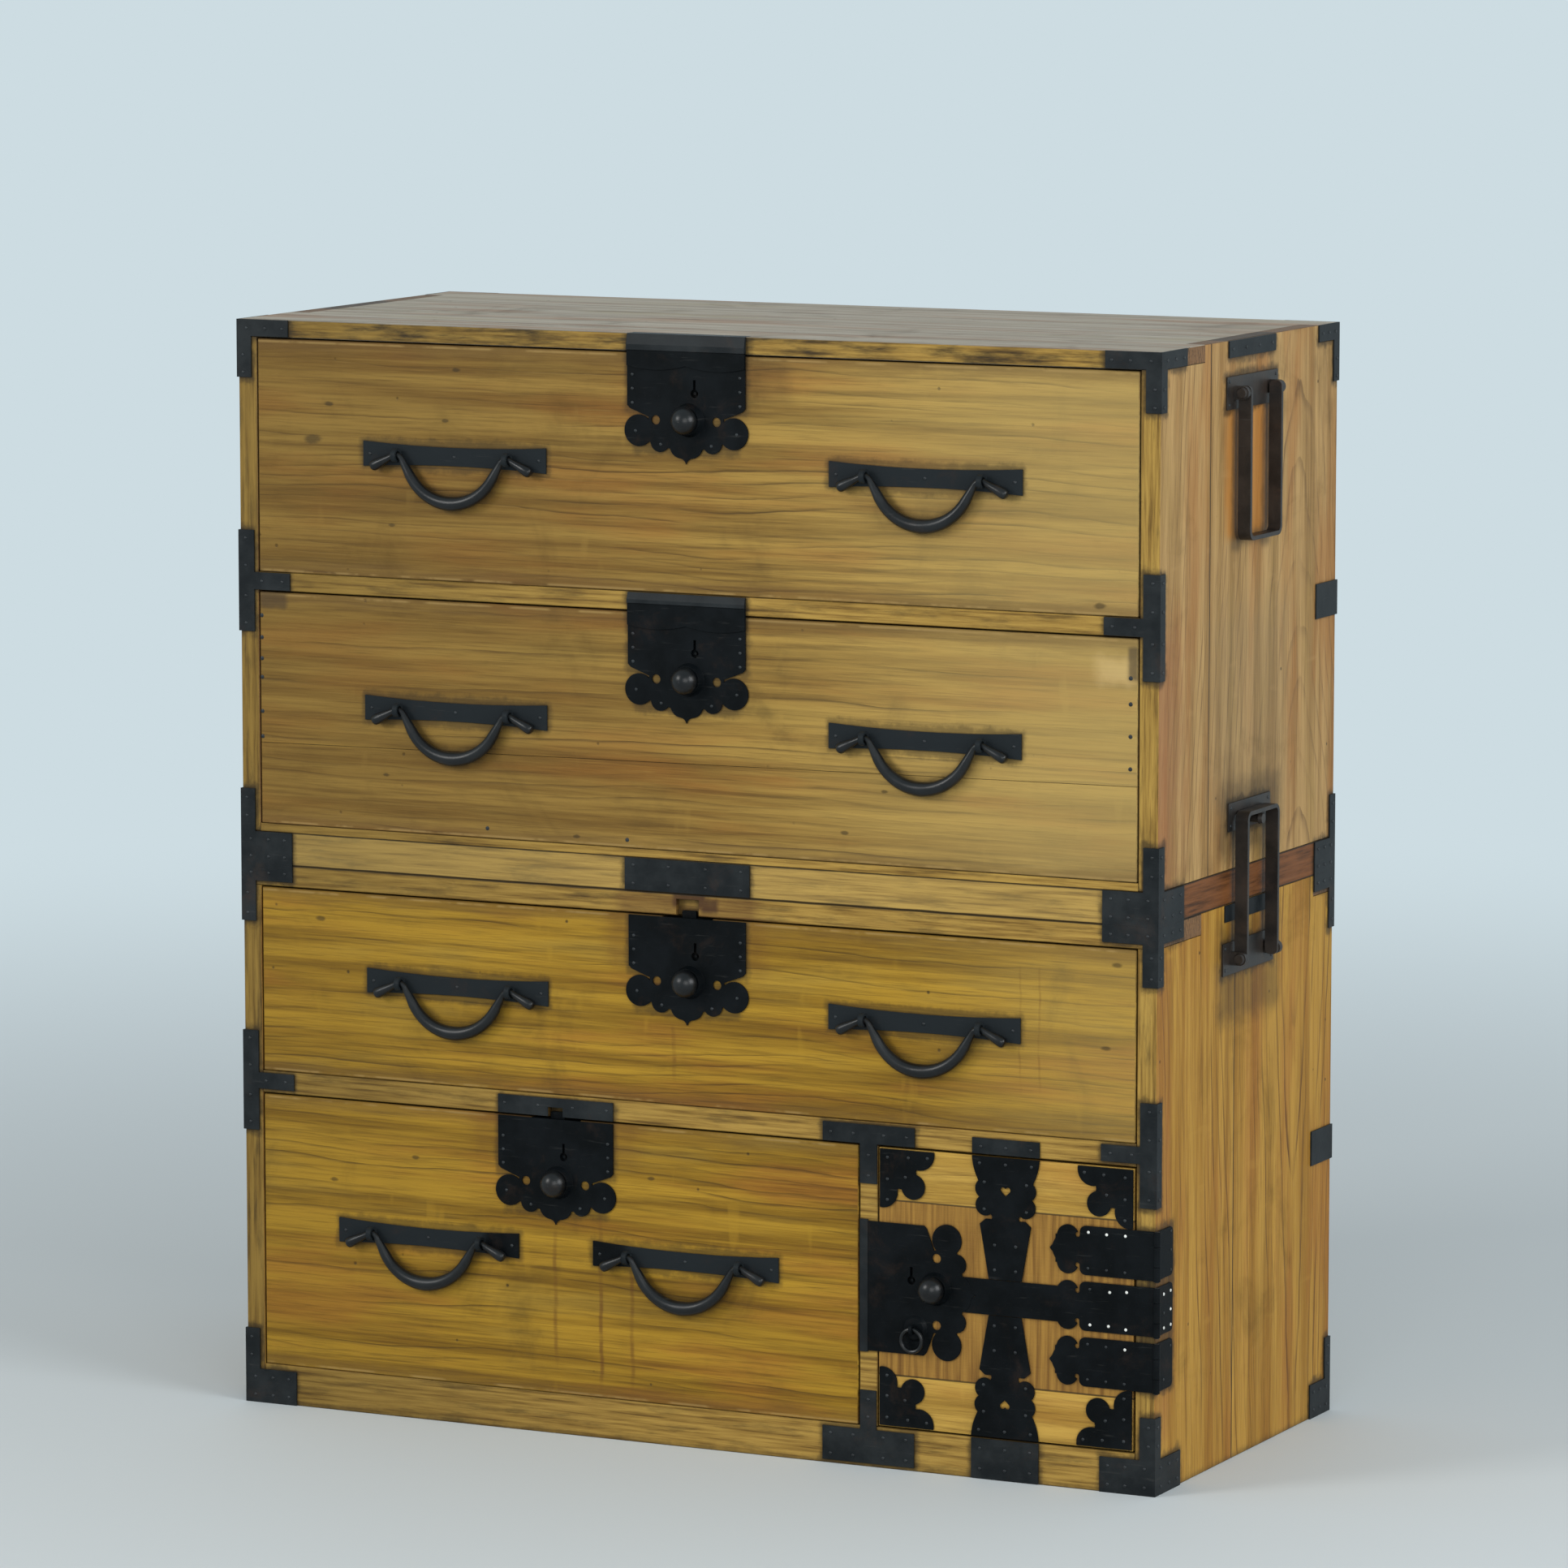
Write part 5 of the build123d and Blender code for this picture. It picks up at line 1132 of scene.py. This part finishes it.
floor_mesh = bpy.data.meshes.new("floor")
corners = [(x * FLOOR_REACH, y * FLOOR_REACH, 0) for x, y in ((-1, -1), (1, -1), (1, 1), (-1, 1))]
floor_mesh.from_pydata(corners, [], [(0, 1, 2, 3)])
floor = bpy.data.objects.new("floor", floor_mesh)
bpy.context.scene.collection.objects.link(floor)
paint = Shader("floor_paint")
paint.surface.inputs["Base Color"].default_value = linear(205, 212, 214)
paint.surface.inputs["Roughness"].default_value = 0.75
glow = paint.tree.nodes.new("ShaderNodeEmission")
glow.inputs["Color"].default_value = BACKDROP
far = paint.between(paint.vector("LENGTH", paint.place), FADE_START, FADE_END)
fade = paint.tree.nodes.new("ShaderNodeMixShader")
paint.put(fade.inputs[0], paint.times(looking(paint.tree), far))
paint.put(fade.inputs[1], paint.surface.outputs[0])
paint.put(fade.inputs[2], glow.outputs[0])
paint.put(paint.output.inputs[0], fade.outputs[0])
floor_mesh.materials.append(paint.material)

# the world lights the object as a pale sky, and looks like the backdrop
world = bpy.data.worlds.new("studio")
bpy.context.scene.world = world
world.use_nodes = True
tree = world.node_tree
tree.nodes.clear()
sky = tree.nodes.new("ShaderNodeBackground")
sky.inputs["Color"].default_value = (0.9, 0.96, 1.0, 1.0)
sky.inputs["Strength"].default_value = 0.5
view = tree.nodes.new("ShaderNodeBackground")
view.inputs["Color"].default_value = BACKDROP
choice = tree.nodes.new("ShaderNodeMixShader")
world_output = tree.nodes.new("ShaderNodeOutputWorld")
tree.links.new(looking(tree), choice.inputs[0])
tree.links.new(sky.outputs[0], choice.inputs[1])
tree.links.new(view.outputs[0], choice.inputs[2])
tree.links.new(choice.outputs[0], world_output.inputs[0])


def soft_light(name, place, target, size, power, colour):
    """A rectangular lamp at a place, in metres, that faces a target; power is in watts."""
    data = bpy.data.lights.new(name, "AREA")
    data.shape = "RECTANGLE"
    data.size, data.size_y = size
    data.energy = power
    data.color = colour
    lamp = bpy.data.objects.new(name, data)
    lamp.location = place
    lamp.rotation_mode = "QUATERNION"
    lamp.rotation_quaternion = (Vector(target) - Vector(place)).to_track_quat("-Z", "Y")
    bpy.context.scene.collection.objects.link(lamp)


soft_light("key", (-2.8, -3.9, 2.7), (0, 0, 0.5), (1.6, 1.6), 92.0, (1.0, 0.98, 0.95))
soft_light("side", (4.4, -1.4, 2.2), (0, 0, 0.6), (2.4, 2.4), 115.0, (0.98, 0.99, 1.0))
soft_light("front", (2.2, -4.2, 1.6), (0.3, 0, 0.5), (2.6, 2.0), 58.0, (1.0, 0.99, 0.97))

# the camera of the photograph, as solved from its perspective: widths and focal length in pixels
PHOTO_WIDTH = 1932
PHOTO_FOCAL = 9557
CAMERA_PLACE = Vector((3.3342, -6.8086, 1.6292))
CAMERA_YAW = radians(-26.11)
CAMERA_PITCH = radians(-7.55)
camera_data = bpy.data.cameras.new("camera")
camera_data.sensor_width = 36.0
camera_data.lens = camera_data.sensor_width * PHOTO_FOCAL / PHOTO_WIDTH
camera_data.clip_end = 1000.0
camera = bpy.data.objects.new("camera", camera_data)
bpy.context.scene.collection.objects.link(camera)
camera.location = CAMERA_PLACE
level = cos(CAMERA_PITCH)
ahead = Vector((sin(CAMERA_YAW) * level, cos(CAMERA_YAW) * level, sin(CAMERA_PITCH)))
camera.rotation_mode = "QUATERNION"
camera.rotation_quaternion = ahead.to_track_quat("-Z", "Y")
bpy.context.scene.camera = camera
bpy.context.scene.view_settings.view_transform = "Standard"
